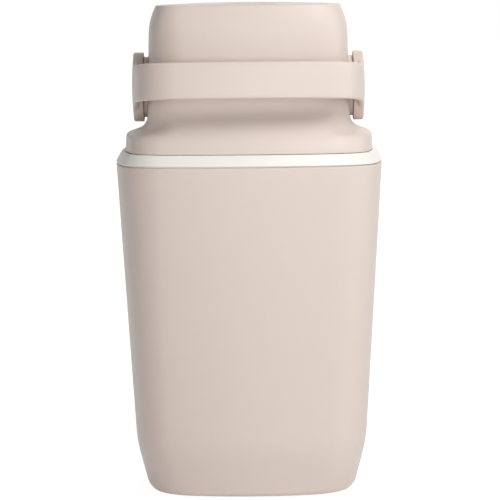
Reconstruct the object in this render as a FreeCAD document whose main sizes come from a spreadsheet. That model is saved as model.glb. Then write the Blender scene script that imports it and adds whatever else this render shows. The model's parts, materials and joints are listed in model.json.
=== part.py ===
import FreeCAD, Part
import math
import os
import re
import Sketcher
from FreeCAD import Rotation, Vector

# Diaper pail: a tapered tub with a bevelled collar, a hinged hood with a lid and two odour flaps,
# and a bail handle that locks the hood down when it is raised.
# Millimetres, +Z up, front towards -Y, origin on the floor under the middle of the tub.

SIZES = {
    # Plan of the tub's mouth: a rounded square with slightly bowed sides
    "half_width": 119,
    "half_depth": 119,
    "side_bow": 420,
    "corner_radius": 48,
    # Tub
    "foot_lift": 1.2,
    "pad_radius": 12,
    "pad_spread": 60,
    "tub_top": 291.1,
    "tub_wall": 3,
    "tub_floor": 3.2,
    "tub_draft": 3.5,
    "heel_height": 40,
    "heel_radius": 120,
    "foot_radius": 6,
    "foot_flat": 12,
    "foot_half": 93.5,
    "foot_bow": 230,
    "foot_corner": 42,
    "rim_chamfer": 0.8,
    # Collar, its seal and the bag ring
    "collar_height": 10.6,
    "seam_gap": 0.9,
    "seam_depth": 1.4,
    "lip_height": 1.1,
    "bevel_inset": 5,
    "plug_gap": 0.5,
    "plug_wall": 3,
    "plug_depth": 14.5,
    "deck_thickness": 3,
    "haunch_width": 2.5,
    "haunch_drop": 3.5,
    "groove_width": 2.2,
    "groove_depth": 1.8,
    "seal_gap": 0.3,
    "seal_fit": 0.1,
    "bag_wall_inset": 18.8,
    "bag_wall": 2,
    "bag_wall_height": 6,
    "ring_wall": 1.8,
    "ring_gap": 0.3,
    "ring_lift": 1,
    # Hood: skirt, shoulder at the sides, ramp at front and back, neck, rim
    "skirt_inset": 8.2,
    "skirt_lean": 1,
    "skirt_height": 14.7,
    "shoulder_rise": 6.8,
    "shoulder_edge_radius": 3,
    "neck_foot_radius": 13,
    "neck_half_width": 90.8,
    "neck_half_depth": 87.5,
    "neck_corner_radius": 34,
    "neck_lean": 2.3,
    "ramp_edge_rise": 9.7,
    "ramp_edge_inset": 3.5,
    "ramp_edge_radius": 30,
    "ramp_rise": 35,
    "ramp_radius": 40,
    "crown_drop": 14,
    "crown_radius": 60,
    "top_inset": 8.7,
    "hood_height": 128.3,
    "hood_wall": 2.6,
    "last_step": 1,
    "rim_width": 3,
    "rim_rounding": 1,
    "recess_depth": 10,
    "ledge_thickness": 3,
    # Hood hinge at the back
    "hinge_stand": 4.2,
    "hinge_rise": 3.9,
    "knuckle_radius": 3.6,
    "hinge_pin_radius": 2,
    "knuckle_half": 13.6,
    "knuckle_gap": 0.4,
    "knuckle_length": 12,
    "web_height": 5.4,
    "fit_gap": 0.05,
    # Handle and its axles
    "pivot_rise": 55.4,
    "handle_tilt": 4.4,
    "boss_radius": 27,
    "boss_stand": 2.4,
    "boss_depth": 10,
    "hub_gap": 0.3,
    "hub_radius": 30.9,
    "hub_thickness": 10.6,
    "hub_dome_radius": 300,
    "hub_edge": 1.8,
    "band_stand": 5.4,
    "band_height": 32,
    "band_thickness": 5,
    "band_reach": 115,
    "band_bow": 420,
    "band_corner": 38,
    "band_flare": 70,
    "band_rounding": 1.6,
    "axle_radius": 9,
    "bush_wall": 3,
    "bush_flange": 1.5,
    "bush_flange_reach": 3,
    "key_size": 12,
    "hook_thickness": 4,
    "hook_gap": 0.1,
    "axle_play": 0.3,
    "washer_thickness": 1.4,
    "washer_radius": 9,
    "screw_radius": 2.4,
    "screw_depth": 14,
    "screw_head_radius": 4.5,
    "screw_head": 2.6,
    # Hood lock: studs on the collar, hooks on the axles
    "lug_clearance": 4,
    "lug_half": 8,
    "lug_height": 6,
    "stud_radius": 2,
    "stud_bury": 10,
    "stud_reach": 9,
    "hook_clearance": 0.6,
    "hook_finger": 3.5,
    "hook_arm": 12,
    "hook_arm_angle": 11.5,
    "hook_eye": 12,
    "hook_lead": 10,
    "hook_trail": 17,
    "handle_lift": 85,
    # Chute with its flange and screws
    "side_room": 24,
    "front_room": 27,
    "rear_room": 40.6,
    "chute_wall": 2,
    "chute_corner": 1.5,
    "chute_gap": 0.5,
    "chute_drop": 102,
    "flange_thickness": 2.5,
    "flange_gap": 0.4,
    "flange_rear": 4.5,
    "chute_screw_radius": 1.6,
    "chute_screw_head": 2.6,
    "chute_screw_head_height": 1.8,
    "chute_screw_depth": 6.5,
    "chute_screw_out": 7.8,
    "chute_screw_spread": 30,
    # Odour flaps
    "flap_drop": 25,
    "flap_pin_radius": 2,
    "flap_pin_inset": 4,
    "flap_barrel": 3.4,
    "flap_thickness": 2.6,
    "flap_end_gap": 0.8,
    "flap_middle_gap": 0.3,
    "lip_width": 5,
    "lip_thickness": 2,
    "spring_room": 9,
    "spring_wire": 1,
    "spring_play": 0.5,
    "spring_leg": 9,
    "spring_leg_width": 0.8,
    # Lid
    "lid_thickness": 4.5,
    "lid_gap": 0.6,
    "lid_crown": 2.2,
    "lid_barrel": 4.5,
    "lid_barrel_gap": 1.2,
    "lid_pin_radius": 1.5,
    "lid_hinge_setback": 11,
    "lid_hinge_drop": 4.2,
    "lid_knuckle_half": 30,
    "bridge_reach": 68,
    "bridge_step": 0.6,
    "liner_thickness": 2.2,
    "liner_inset": 1.5,
    "liner_corner": 5,
    "lid_seal_width": 2.5,
    "lid_seal_offset": 0.8,
    "scoop_width": 46,
    "scoop_length": 16,
    "scoop_rounding": 0.45,
    "scoop_depth": 2,
    "scoop_setback": 12,
}

doc = FreeCAD.newDocument("diaper_pail")
sheet = doc.addObject("Spreadsheet::Sheet", "Sizes")
for row, (alias, value) in enumerate(SIZES.items(), 1):
    sheet.set(f"A{row}", alias)
    sheet.set(f"B{row}", str(value))
    sheet.setAlias(f"B{row}", alias)
doc.recompute()

# Heights and places that several pieces share, written once as formulas
SHARED = {
    "collar_top": "(tub_top + collar_height)",
    "hood_bottom": "(tub_top + collar_height + seal_gap)",
    "hood_top": "(tub_top + collar_height + seal_gap + hood_height)",
    "pivot_height": "(hood_bottom + pivot_rise)",
    "ledge_top": "(hood_top - recess_depth)",
    "top_half_width": "(neck_half_width - top_inset)",
    "top_half_depth": "(neck_half_depth - top_inset)",
    "rim_corner": "(neck_corner_radius - top_inset)",
    "hinge_y": "(half_depth - skirt_inset + hinge_stand)",
    "hinge_z": "(hood_bottom + hinge_rise)",
    "boss_face": "(neck_half_width + boss_stand)",
    "boss_back": "(boss_face - boss_depth - boss_stand)",
    "hub_face": "(boss_face + hub_gap)",
    "bush_back": "(boss_back - bush_flange)",
    "key_face": "(bush_back - axle_play)",
    "hook_back": "(key_face - hook_gap - hook_thickness)",
    "key_end": "(hook_back - hub_gap)",
    "stud_height": "(collar_top - lug_height / 2)",
    "hook_radius": "(pivot_height - stud_height)",
    "lug_end": "(key_face + lug_clearance)",
    "chute_x": "(neck_half_width - side_room)",
    "chute_front": "(neck_half_depth - front_room)",
    "chute_rear": "(neck_half_depth - rear_room)",
    "chute_bottom": "(ledge_top - chute_drop)",
    "flap_height": "(ledge_top - flap_drop)",
    "flap_x": "(chute_x - flap_pin_inset)",
    "lid_bottom": "(hood_top - lid_thickness)",
    "lid_hinge_y": "(chute_rear + lid_hinge_setback)",
    "lid_hinge_z": "(hood_top - lid_hinge_drop)",
    "barrel_room": "(lid_barrel + lid_barrel_gap)",
    "bag_face": "(half_width - bag_wall_inset)",
}
SHARED_WORD = re.compile(r"\b(" + "|".join(SHARED) + r")\b")
SIZE_WORD = re.compile(r"\b(" + "|".join(SIZES) + r")\b")


def spell_out(formula):
    """Put the formula of each shared place in its stead until only sheet sizes are left."""
    while SHARED_WORD.search(formula):
        formula = SHARED_WORD.sub(lambda word: SHARED[word.group(1)], formula)
    return formula


def num(formula):
    return float(sheet.evalExpression(spell_out(formula)))


def bind(item, target, formula):
    item.setExpression(target, SIZE_WORD.sub(r"Sizes.\1", spell_out(formula)))


# Sketches whose sizes are all bound to the sheet
class Outline:
    def __init__(self, body, name, role, offset="0"):
        self.sketch = body.newObject("Sketcher::SketchObject", name)
        plane = next(item for item in body.Origin.OriginFeatures if item.Role == role)
        self.sketch.AttachmentSupport = (plane, [""])
        self.sketch.MapMode = "FlatFace"
        bind(self.sketch, "AttachmentOffset.Base.z", offset)

    def line(self, start, end):
        return self.sketch.addGeometry(Part.LineSegment(Vector(*start, 0), Vector(*end, 0)), False)

    def arc(self, centre, radius, first, last):
        circle = Part.Circle(Vector(*centre, 0), Vector(0, 0, 1), radius)
        return self.sketch.addGeometry(Part.ArcOfCircle(circle, first, last), False)

    def rule(self, kind, *where):
        return self.sketch.addConstraint(Sketcher.Constraint(kind, *where))

    def size(self, kind, *where, formula):
        index = self.rule(kind, *where, num(formula))
        bind(self.sketch, f"Constraints[{index}]", formula)

    def place(self, curve, end, x=None, y=None):
        """Set a point's distance from the axes; a point on an axis is held on it."""
        for kind, axis, formula in (("DistanceX", -2, x), ("DistanceY", -1, y)):
            if formula is None:
                continue
            value = num(formula)
            if abs(value) < 1e-9:
                self.rule("PointOnObject", curve, end, axis)
            elif value > 0:
                self.size(kind, -1, 1, curve, end, formula=formula)
            else:
                self.size(kind, curve, end, -1, 1, formula=f"-({formula})")

    def polygon(self, points):
        corners = [(num(x), num(y)) for x, y in points]
        lines = [self.line(a, b) for a, b in zip(corners, corners[1:] + corners[:1])]
        for first, second in zip(lines, lines[1:] + lines[:1]):
            self.rule("Coincident", first, 2, second, 1)
        for curve, (x, y) in zip(lines, points):
            self.place(curve, 1, x, y)
        return self

    def rectangle(self, left, right, low, high):
        return self.polygon([(left, low), (right, low), (right, high), (left, high)])

    def rounded(self, left, right, low, high, radius):
        """Rectangle with straight sides and rounded corners."""
        x0, x1, y0, y1, r = (num(item) for item in (left, right, low, high, radius))
        quarter = math.pi / 2
        bottom = self.line((x0 + r, y0), (x1 - r, y0))
        turn_a = self.arc((x1 - r, y0 + r), r, -quarter, 0)
        east = self.line((x1, y0 + r), (x1, y1 - r))
        turn_b = self.arc((x1 - r, y1 - r), r, 0, quarter)
        top = self.line((x1 - r, y1), (x0 + r, y1))
        turn_c = self.arc((x0 + r, y1 - r), r, quarter, 2 * quarter)
        west = self.line((x0, y1 - r), (x0, y0 + r))
        turn_d = self.arc((x0 + r, y0 + r), r, 2 * quarter, 3 * quarter)
        curves = [bottom, turn_a, east, turn_b, top, turn_c, west, turn_d]
        for first, second in zip(curves, curves[1:] + curves[:1]):
            self.rule("Tangent", first, 2, second, 1)
        for curve, kind in ((bottom, "Horizontal"), (top, "Horizontal"), (east, "Vertical"), (west, "Vertical")):
            self.rule(kind, curve)
        self.place(bottom, 1, y=low)
        self.place(east, 1, x=right)
        self.place(top, 1, y=high)
        self.place(west, 1, x=left)
        for curve in (turn_a, turn_b, turn_c, turn_d):
            self.size("Radius", curve, formula=radius)
        return self

    def circle(self, x, y, radius):
        ring = Part.Circle(Vector(num(x), num(y), 0), Vector(0, 0, 1), num(radius))
        curve = self.sketch.addGeometry(ring, False)
        self.place(curve, 3, x, y)
        self.size("Radius", curve, formula=radius)
        return self

    def squircle(self, half_x, half_y, bow, corner):
        """Rounded rectangle: four bowed sides and four corner arcs, all tangent."""
        sides, corners = squircle_arcs(num(half_x), num(half_y), num(bow), num(corner))
        curves = []
        for side, turn in zip(sides, corners):
            curves += [self.arc(*side), self.arc(*turn)]
        for first, second in zip(curves, curves[1:] + curves[:1]):
            self.rule("Tangent", first, 2, second, 1)
        right, back, left, front = curves[0::2]
        for curve, axis in ((right, -1), (left, -1), (back, -2), (front, -2)):
            self.rule("PointOnObject", curve, 3, axis)
        self.size("DistanceX", right, 3, -1, 1, formula=f"{bow} - ({half_x})")
        self.size("DistanceX", -1, 1, left, 3, formula=f"{bow} - ({half_x})")
        self.size("DistanceY", back, 3, -1, 1, formula=f"{bow} - ({half_y})")
        self.size("DistanceY", -1, 1, front, 3, formula=f"{bow} - ({half_y})")
        for curve in curves[0::2]:
            self.size("Radius", curve, formula=bow)
        for curve in curves[1::2]:
            self.size("Radius", curve, formula=corner)
        return self


def squircle_arcs(half_x, half_y, bow, corner):
    """Sides and corners of a rounded rectangle as (centre, radius, first angle, last angle)."""
    side_x = half_x - bow
    side_y = half_y - bow
    span = math.hypot(side_x, side_y)
    lift = math.sqrt((bow - corner) ** 2 - span ** 2 / 4)
    turn_x = side_x / 2 - side_y / span * lift
    turn_y = side_y / 2 - side_x / span * lift
    low = math.atan2(turn_y, turn_x - side_x)
    high = math.atan2(turn_y - side_y, turn_x)
    half_turn = math.pi
    sides = [
        ((side_x, 0), bow, -low, low),
        ((0, side_y), bow, high, half_turn - high),
        ((-side_x, 0), bow, half_turn - low, half_turn + low),
        ((0, -side_y), bow, half_turn + high, 2 * half_turn - high),
    ]
    corners = [
        ((turn_x, turn_y), corner, low, high),
        ((-turn_x, turn_y), corner, half_turn - high, half_turn - low),
        ((-turn_x, -turn_y), corner, half_turn + low, half_turn + high),
        ((turn_x, -turn_y), corner, 2 * half_turn - high, 2 * half_turn - low),
    ]
    return sides, corners


def new_body(name):
    return doc.addObject("PartDesign::Body", name)


def pad(body, name, outline, length, both_ways=False):
    feature = body.newObject("PartDesign::Pad", name)
    feature.Profile = outline.sketch
    bind(feature, "Length", length)
    feature.Midplane = both_ways
    doc.recompute()
    return feature


def sweep_ring(name, points):
    """A ring of one section, swept round the tub's mouth."""
    body = new_body(name)
    path = Outline(body, name + "_path", "XY_Plane", "tub_top")
    path.squircle("half_width", "half_depth", "side_bow", "corner_radius")
    section = Outline(body, name + "_section", "XZ_Plane")
    section.polygon(points)
    return sweep(body, name, section, path)


def sweep(body, name, section, path):
    doc.recompute()
    ring = body.newObject("PartDesign::AdditivePipe", name + "_sweep")
    ring.Profile = section.sketch
    ring.Spine = (path.sketch, [f"Edge{index}" for index in range(1, 9)])
    doc.recompute()
    return body


# Plain solids and booleans
TURN = {
    "x": Rotation(Vector(0, 1, 0), 90),
    "y": Rotation(Vector(1, 0, 0), -90),
    "z": Rotation(),
}


def put(item, x, y, z):
    for axis, formula in zip("xyz", (x, y, z)):
        bind(item, f"Placement.Base.{axis}", formula)
    return item


def rod(name, axis, start, radius, length):
    item = doc.addObject("Part::Cylinder", name)
    item.Placement.Rotation = TURN[axis]
    bind(item, "Radius", radius)
    bind(item, "Height", length)
    return put(item, *start)


def block(name, x, y, z):
    """A box between two formulas along each axis."""
    item = doc.addObject("Part::Box", name)
    for side, (low, high) in zip(("Length", "Width", "Height"), (x, y, z)):
        bind(item, side, f"{high} - ({low})")
    return put(item, x[0], y[0], z[0])


def group(name, items):
    item = doc.addObject("Part::Compound", name)
    item.Links = items
    return item


def fuse(name, items):
    item = doc.addObject("Part::MultiFuse", name)
    item.Shapes = items
    item.Refine = True
    return item


def common(name, items):
    item = doc.addObject("Part::MultiCommon", name)
    item.Shapes = items
    item.Refine = True
    return item


def cut(name, base, tools):
    item = doc.addObject("Part::Cut", name)
    item.Base = base
    item.Tool = tools[0] if len(tools) == 1 else fuse(name + "_tools", tools)
    item.Refine = True
    return item


def mirror(name, source):
    item = doc.addObject("Part::Mirroring", name)
    item.Source = source
    item.Normal = Vector(1, 0, 0)
    return item


def pair(name, source):
    return [source, mirror(name, source)]


nodes = {}


def keep(label, item):
    nodes[label] = item
    return item


# Forms whose plan changes with height
class Profile:
    """Half size against height: straight runs joined by arcs, rising all the way."""

    def __init__(self, *points):
        self.first = Vector(num(points[0][0]), num(points[0][1]), 0)
        self.last = Vector(num(points[-1][0]), num(points[-1][1]), 0)
        corners = [Vector(num(point[0]), num(point[1]), 0) for point in points]
        self.arcs = []
        for before, corner, after, point in zip(corners, corners[1:], corners[2:], points[1:]):
            radius = num(point[2])
            into = (corner - before).normalize()
            away = (after - corner).normalize()
            half_turn = into.getAngle(away) / 2
            reach = radius * math.tan(half_turn)
            centre = corner + (away - into).normalize() * (radius / math.cos(half_turn))
            self.arcs.append((corner - into * reach, corner + away * reach, centre, radius))

    def half_at(self, height):
        low = self.first
        for start, end, centre, radius in self.arcs:
            if height < start.y:
                return self.straight(low, start, height)
            if height <= end.y:
                side = 1 if start.x + end.x > 2 * centre.x else -1
                span = max(0, radius ** 2 - (height - centre.y) ** 2)
                return centre.x + side * math.sqrt(span)
            low = end
        return self.straight(low, self.last, height)

    def straight(self, low, high, height):
        return low.x + (high.x - low.x) * (height - low.y) / (high.y - low.y)

    def runs(self, arc_steps, longest_step):
        """Heights along each arc and each straight run, as one list for each."""
        lists = []
        low = self.first.y
        for start, end, centre, radius in self.arcs:
            if start.y > low:
                lists.append(even_steps(low, start.y, longest_step))
            levels = [start.y]
            for step in range(1, arc_steps):
                way = (start - centre) * (1 - step / arc_steps) + (end - centre) * (step / arc_steps)
                levels.append((centre + way.normalize() * radius).y)
            lists.append(levels + [end.y])
            low = end.y
        return lists + [even_steps(low, self.last.y, longest_step)]


def even_steps(low, high, longest_step):
    count = math.ceil((high - low) / longest_step)
    return [low + (high - low) * step / count for step in range(count + 1)]


def flat_wire(half_x, half_y, bow, corner, height):
    sides, corners = squircle_arcs(half_x, half_y, bow, corner)
    edges = []
    for pieces in zip(sides, corners):
        for (x, y), radius, first, last in pieces:
            circle = Part.Circle(Vector(x, y, height), Vector(0, 0, 1), radius)
            edges.append(Part.ArcOfCircle(circle, first, last).toShape())
    return Part.Wire(edges)


def lofted_form(section, runs):
    """Closed form through the sections at the given heights, one smooth skin for each run of heights."""
    faces = []
    for run in runs:
        faces += Part.makeLoft([section(level) for level in run], False).Faces
    for level in (runs[0][0], runs[-1][-1]):
        faces.append(Part.Face(section(level)))
    skin = Part.Shell(faces)
    skin.sewShape()
    return Part.Solid(skin)


# Tub: squarish at the mouth and rounder at the foot, drawn in at the heel
HEEL_HALF = "half_width - (tub_top - rim_chamfer - heel_height) * tan(tub_draft)"
tub_profile = Profile(
    ("foot_half - foot_flat", "foot_lift"),
    ("foot_half", "foot_lift", "foot_radius"),
    (HEEL_HALF, "heel_height", "heel_radius"),
    ("half_width", "tub_top - rim_chamfer", "rim_chamfer"),
    ("half_width - rim_chamfer", "tub_top"),
)


def tub_section(height, inset, lift):
    """Section of the tub's outside, or of its hollow when moved in by the wall and up by the floor."""
    half = tub_profile.half_at(height)
    drawn_in = num("half_width") - half + inset
    round_from = num("tub_top - plug_depth * 2")
    share = max(0, (round_from - height) / (round_from - num("foot_lift"))) ** 2
    bow = (1 - share) * (num("side_bow") - drawn_in) + share * (num("foot_bow") - inset)
    corner = (1 - share) * (num("corner_radius") - drawn_in) + share * (num("foot_corner") - inset)
    return flat_wire(num("half_width") - drawn_in, num("half_depth") - drawn_in, bow, corner, height + lift)


tub_runs = tub_profile.runs(arc_steps=4, longest_step=40)
tub_wall = num("tub_wall")
tub_floor = num("tub_floor")
tub = doc.addObject("Part::Feature", "tub")
tub.Shape = lofted_form(lambda height: tub_section(height, 0, 0), tub_runs).cut(
    lofted_form(lambda height: tub_section(height, tub_wall, tub_floor), tub_runs)
)
keep("tub", tub)

# Four rubber pads under the floor
pads = [
    rod(f"foot_pad_{index}", "z", (x, y, "0"), "pad_radius", "foot_lift")
    for index, (x, y) in enumerate([
        ("pad_spread", "pad_spread"),
        ("-pad_spread", "pad_spread"),
        ("-pad_spread", "-pad_spread"),
        ("pad_spread", "-pad_spread"),
    ])
]
keep("foot_pads", group("foot_pads", pads))

# Collar: bevelled ring plugged into the tub's mouth, with a wall for the bag's edge,
# hinge knuckles at the back and a lug for a lock stud at each side
PLUG_OUT = "half_width - tub_wall - plug_gap"
PLUG_IN = PLUG_OUT + " - plug_wall"
GROOVE_MID = "half_width - skirt_inset - hood_wall / 2"
collar_ring = sweep_ring("collar_ring", [
    ("half_width", "tub_top + seam_gap"),
    ("half_width", "tub_top + seam_gap + lip_height"),
    ("half_width - bevel_inset", "collar_top"),
    (GROOVE_MID + " + groove_width / 2", "collar_top"),
    (GROOVE_MID + " + groove_width / 2", "collar_top - groove_depth"),
    (GROOVE_MID + " - groove_width / 2", "collar_top - groove_depth"),
    (GROOVE_MID + " - groove_width / 2", "collar_top"),
    ("bag_face", "collar_top"),
    ("bag_face", "collar_top + bag_wall_height"),
    ("bag_face - bag_wall", "collar_top + bag_wall_height"),
    ("bag_face - bag_wall", "collar_top - deck_thickness"),
    (PLUG_IN + " - haunch_width", "collar_top - deck_thickness"),
    (PLUG_IN, "collar_top - deck_thickness - haunch_drop"),
    (PLUG_IN, "tub_top - plug_depth"),
    (PLUG_OUT + " - plug_depth * tan(tub_draft)", "tub_top - plug_depth"),
    (PLUG_OUT, "tub_top"),
    ("half_width - seam_depth", "tub_top"),
    ("half_width - seam_depth", "tub_top + seam_gap"),
])
OUTER_KNUCKLE = "knuckle_half + knuckle_gap"
knuckle = rod(
    "collar_knuckle", "x", (OUTER_KNUCKLE, "hinge_y", "hinge_z"), "knuckle_radius", "knuckle_length"
)
web = block(
    "collar_web",
    (OUTER_KNUCKLE, OUTER_KNUCKLE + " + knuckle_length"),
    ("hinge_y - knuckle_radius", "hinge_y + knuckle_radius"),
    ("tub_top + seam_gap + lip_height", "hinge_z"),
)
lug = block(
    "collar_lug",
    ("lug_end", "bag_face"),
    ("-lug_half", "lug_half"),
    ("collar_top - lug_height", "collar_top"),
)
collar_solid = fuse(
    "collar_solid",
    [collar_ring]
    + pair("collar_knuckle_left", knuckle)
    + pair("collar_web_left", web)
    + pair("collar_lug_left", lug),
)
HINGE_REACH = "(knuckle_half + knuckle_gap + knuckle_length)"
HINGE_START = ("-" + HINGE_REACH, "hinge_y", "hinge_z")
HINGE_LENGTH = "2 * " + HINGE_REACH
hinge_bore = rod("hinge_bore", "x", HINGE_START, "hinge_pin_radius + fit_gap", HINGE_LENGTH)
stud_bore = rod(
    "stud_bore", "x", ("lug_end - stud_reach", "0", "stud_height"),
    "stud_radius + fit_gap", "stud_reach + stud_bury",
)
keep("collar", cut("collar", collar_solid, [hinge_bore] + pair("stud_bore_left", stud_bore)))
keep("hood_hinge_pin", rod("hood_hinge_pin", "x", HINGE_START, "hinge_pin_radius", HINGE_LENGTH))
stud = rod(
    "stud", "x", ("lug_end - stud_reach", "0", "stud_height"), "stud_radius", "stud_reach + stud_bury"
)
keep("lock_studs", group("lock_studs", pair("stud_left", stud)))

SEAL_HALF = "groove_width / 2 - seal_fit"
keep("collar_seal", sweep_ring("collar_seal", [
    (f"{GROOVE_MID} - ({SEAL_HALF})", "collar_top - groove_depth"),
    (f"{GROOVE_MID} + {SEAL_HALF}", "collar_top - groove_depth"),
    (f"{GROOVE_MID} + {SEAL_HALF}", "collar_top"),
    (f"{GROOVE_MID} - ({SEAL_HALF})", "collar_top"),
]))
RING_OUT = "bag_face + ring_gap"
RING_IN = "bag_face - bag_wall - ring_gap"
keep("bag_ring", sweep_ring("bag_ring", [
    (RING_OUT, "collar_top + ring_lift"),
    (RING_OUT + " + ring_wall", "collar_top + ring_lift"),
    (RING_OUT + " + ring_wall", "collar_top + bag_wall_height + ring_wall"),
    (RING_IN + " - ring_wall", "collar_top + bag_wall_height + ring_wall"),
    (RING_IN + " - ring_wall", "collar_top + ring_lift"),
    (RING_IN, "collar_top + ring_lift"),
    (RING_IN, "collar_top + bag_wall_height"),
    (RING_OUT, "collar_top + bag_wall_height"),
]))


# Hood: a shell lofted through rounded squares that follow a side profile and a front profile
SKIRT_HALF = "half_width - skirt_inset"
side_profile = Profile(
    (SKIRT_HALF, "hood_bottom"),
    (SKIRT_HALF + " - skirt_lean", "hood_bottom + skirt_height", "shoulder_edge_radius"),
    ("neck_half_width", "hood_bottom + skirt_height + shoulder_rise", "neck_foot_radius"),
    ("neck_half_width - neck_lean", "hood_top - crown_drop", "crown_radius"),
    ("top_half_width", "hood_top"),
)
front_profile = Profile(
    ("half_depth - skirt_inset", "hood_bottom"),
    ("half_depth - skirt_inset - ramp_edge_inset", "hood_bottom + ramp_edge_rise", "ramp_edge_radius"),
    ("neck_half_depth", "hood_bottom + ramp_rise", "ramp_radius"),
    ("neck_half_depth - neck_lean", "hood_top - crown_drop", "crown_radius"),
    ("top_half_depth", "hood_top"),
)


def hood_section(height, inset):
    """Section of the hood's outside, or of its hollow when moved in and down by the wall."""
    half_x = side_profile.half_at(height)
    half_y = front_profile.half_at(height)
    neck = num("neck_half_width")
    share = (half_x - neck) / (side_profile.first.x - neck)
    if share > 0:
        skirt_corner = num("corner_radius - skirt_inset")
        corner = num("neck_corner_radius") + share * (skirt_corner - num("neck_corner_radius"))
    else:
        corner = num("neck_corner_radius") - (neck - half_x)
    bow = num("side_bow - skirt_inset")
    return flat_wire(half_x - inset, half_y - inset, bow - inset, corner - inset, height - inset)


hood_wall = num("hood_wall")
hollow_top = num("ledge_top - ledge_thickness + hood_wall")
last_step = num("last_step")
runs = side_profile.runs(arc_steps=4, longest_step=9)
hollow_runs = []
for run in runs:
    kept = [level for level in run if level < hollow_top - last_step]
    if len(kept) > 1:
        hollow_runs.append(kept)
hollow_runs.append([hollow_runs[-1][-1], hollow_top])
outside = lofted_form(lambda height: hood_section(height, 0), runs)
hollow = lofted_form(lambda height: hood_section(height, hood_wall), hollow_runs)
top_face = max(outside.Faces, key=lambda face: face.CenterOfMass.z)
outside = outside.makeFillet(num("rim_rounding"), top_face.Edges)
hood_shell = doc.addObject("Part::Feature", "hood_shell")
hood_shell.Shape = outside.cut(hollow)


def rim_plan(name, inset, low, length):
    """A plate with the outline of the hood's top edge, moved in by inset."""
    body = new_body(name)
    plan = Outline(body, name + "_plan", "XY_Plane", low)
    plan.squircle(
        f"top_half_width - ({inset})",
        f"top_half_depth - ({inset})",
        f"side_bow - skirt_inset - ({inset})",
        f"rim_corner - ({inset})",
    )
    pad(body, name + "_pad", plan, length)
    return body


def chute_prism(name, grow, low, length, corner="chute_corner"):
    """A prism with the outline of the chute's inside, grown on all sides."""
    body = new_body(name)
    plan = Outline(body, name + "_plan", "XY_Plane", low)
    plan.rounded(
        f"-(chute_x + {grow})",
        f"chute_x + {grow}",
        f"-(chute_front + {grow})",
        f"chute_rear + {grow}",
        f"{corner} + {grow}",
    )
    pad(body, name + "_pad", plan, length)
    return body


recess = rim_plan("lid_recess", "rim_width", "ledge_top", "recess_depth * 2")
ledge_hole = chute_prism(
    "ledge_hole", "chute_wall + chute_gap", "ledge_top - ledge_thickness * 2", "ledge_thickness * 4"
)
boss = rod("boss", "x", ("boss_back", "0", "pivot_height"), "boss_radius", "boss_face - boss_back")
boss_bore = rod(
    "boss_bore", "x", ("boss_back", "0", "pivot_height"),
    "axle_radius + bush_wall + fit_gap", "boss_face - boss_back",
)
hood_knuckle = rod(
    "hood_knuckle", "x", ("-knuckle_half", "hinge_y", "hinge_z"), "knuckle_radius", "2 * knuckle_half"
)
hood_web = block(
    "hood_web",
    ("-knuckle_half", "knuckle_half"),
    ("hinge_y - hinge_stand - hood_wall", "hinge_y"),
    ("hinge_z - web_height / 2", "hinge_z + web_height / 2"),
)
CHUTE_MID = "(chute_rear - chute_front) / 2"
SCREW_PLACES = [
    (x, f"{CHUTE_MID} {sign} chute_screw_spread")
    for x in ("chute_x + chute_screw_out", "-(chute_x + chute_screw_out)")
    for sign in "+-"
]
SCREW_FOOT = "ledge_top + flange_thickness - chute_screw_depth"
screw_holes = [
    rod(f"chute_screw_hole_{index}", "z", (x, y, SCREW_FOOT),
        "chute_screw_radius + fit_gap", "chute_screw_depth + flange_thickness")
    for index, (x, y) in enumerate(SCREW_PLACES)
]
hinge_leaf = fuse("hinge_leaf", [hood_knuckle, hood_web])
hood_solid = fuse("hood_solid", [hood_shell, hinge_leaf] + pair("boss_left", boss))
keep("hood", cut(
    "hood", hood_solid,
    [recess, ledge_hole, hinge_bore] + screw_holes + pair("boss_bore_left", boss_bore),
))

# Bushes for the handle's axles
bush_solid = fuse("bush_solid", [
    rod("bush_sleeve", "x", ("boss_back", "0", "pivot_height"),
        "axle_radius + bush_wall", "boss_face - boss_back"),
    rod("bush_collar", "x", ("bush_back", "0", "pivot_height"),
        "axle_radius + bush_wall + bush_flange_reach", "bush_flange"),
])
bush_bore = rod(
    "bush_bore", "x", ("bush_back", "0", "pivot_height"), "axle_radius + fit_gap", "boss_face - bush_back"
)
right_bush = keep("right_axle_bush", cut("right_axle_bush", bush_solid, [bush_bore]))
keep("left_axle_bush", mirror("left_axle_bush", right_bush))


# Handle, built about its pivot and then lifted to it: band, hubs, axles
def on_pivot(item):
    """Place a piece that was built about the pivot's middle, at the handle's rest tilt."""
    item.Placement = FreeCAD.Placement(Vector(0, 0, 0), Rotation(Vector(-1, 0, 0), 1))
    bind(item, "Placement.Base.z", "pivot_height")
    bind(item, "Placement.Rotation.Angle", "handle_tilt * 1 deg")
    return item


BAND_OUT = "hub_face + band_stand + band_thickness"
band_ring = new_body("band_ring")
band_plan = Outline(band_ring, "band_plan", "XY_Plane")
band_plan.squircle(BAND_OUT, "band_reach", "band_bow", "band_corner")
band_plan.squircle(
    BAND_OUT + " - band_thickness",
    "band_reach - band_thickness",
    "band_bow - band_thickness",
    "band_corner - band_thickness",
)
pad(band_ring, "band_ring_pad", band_plan, "2 * hub_radius", both_ways=True)

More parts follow.
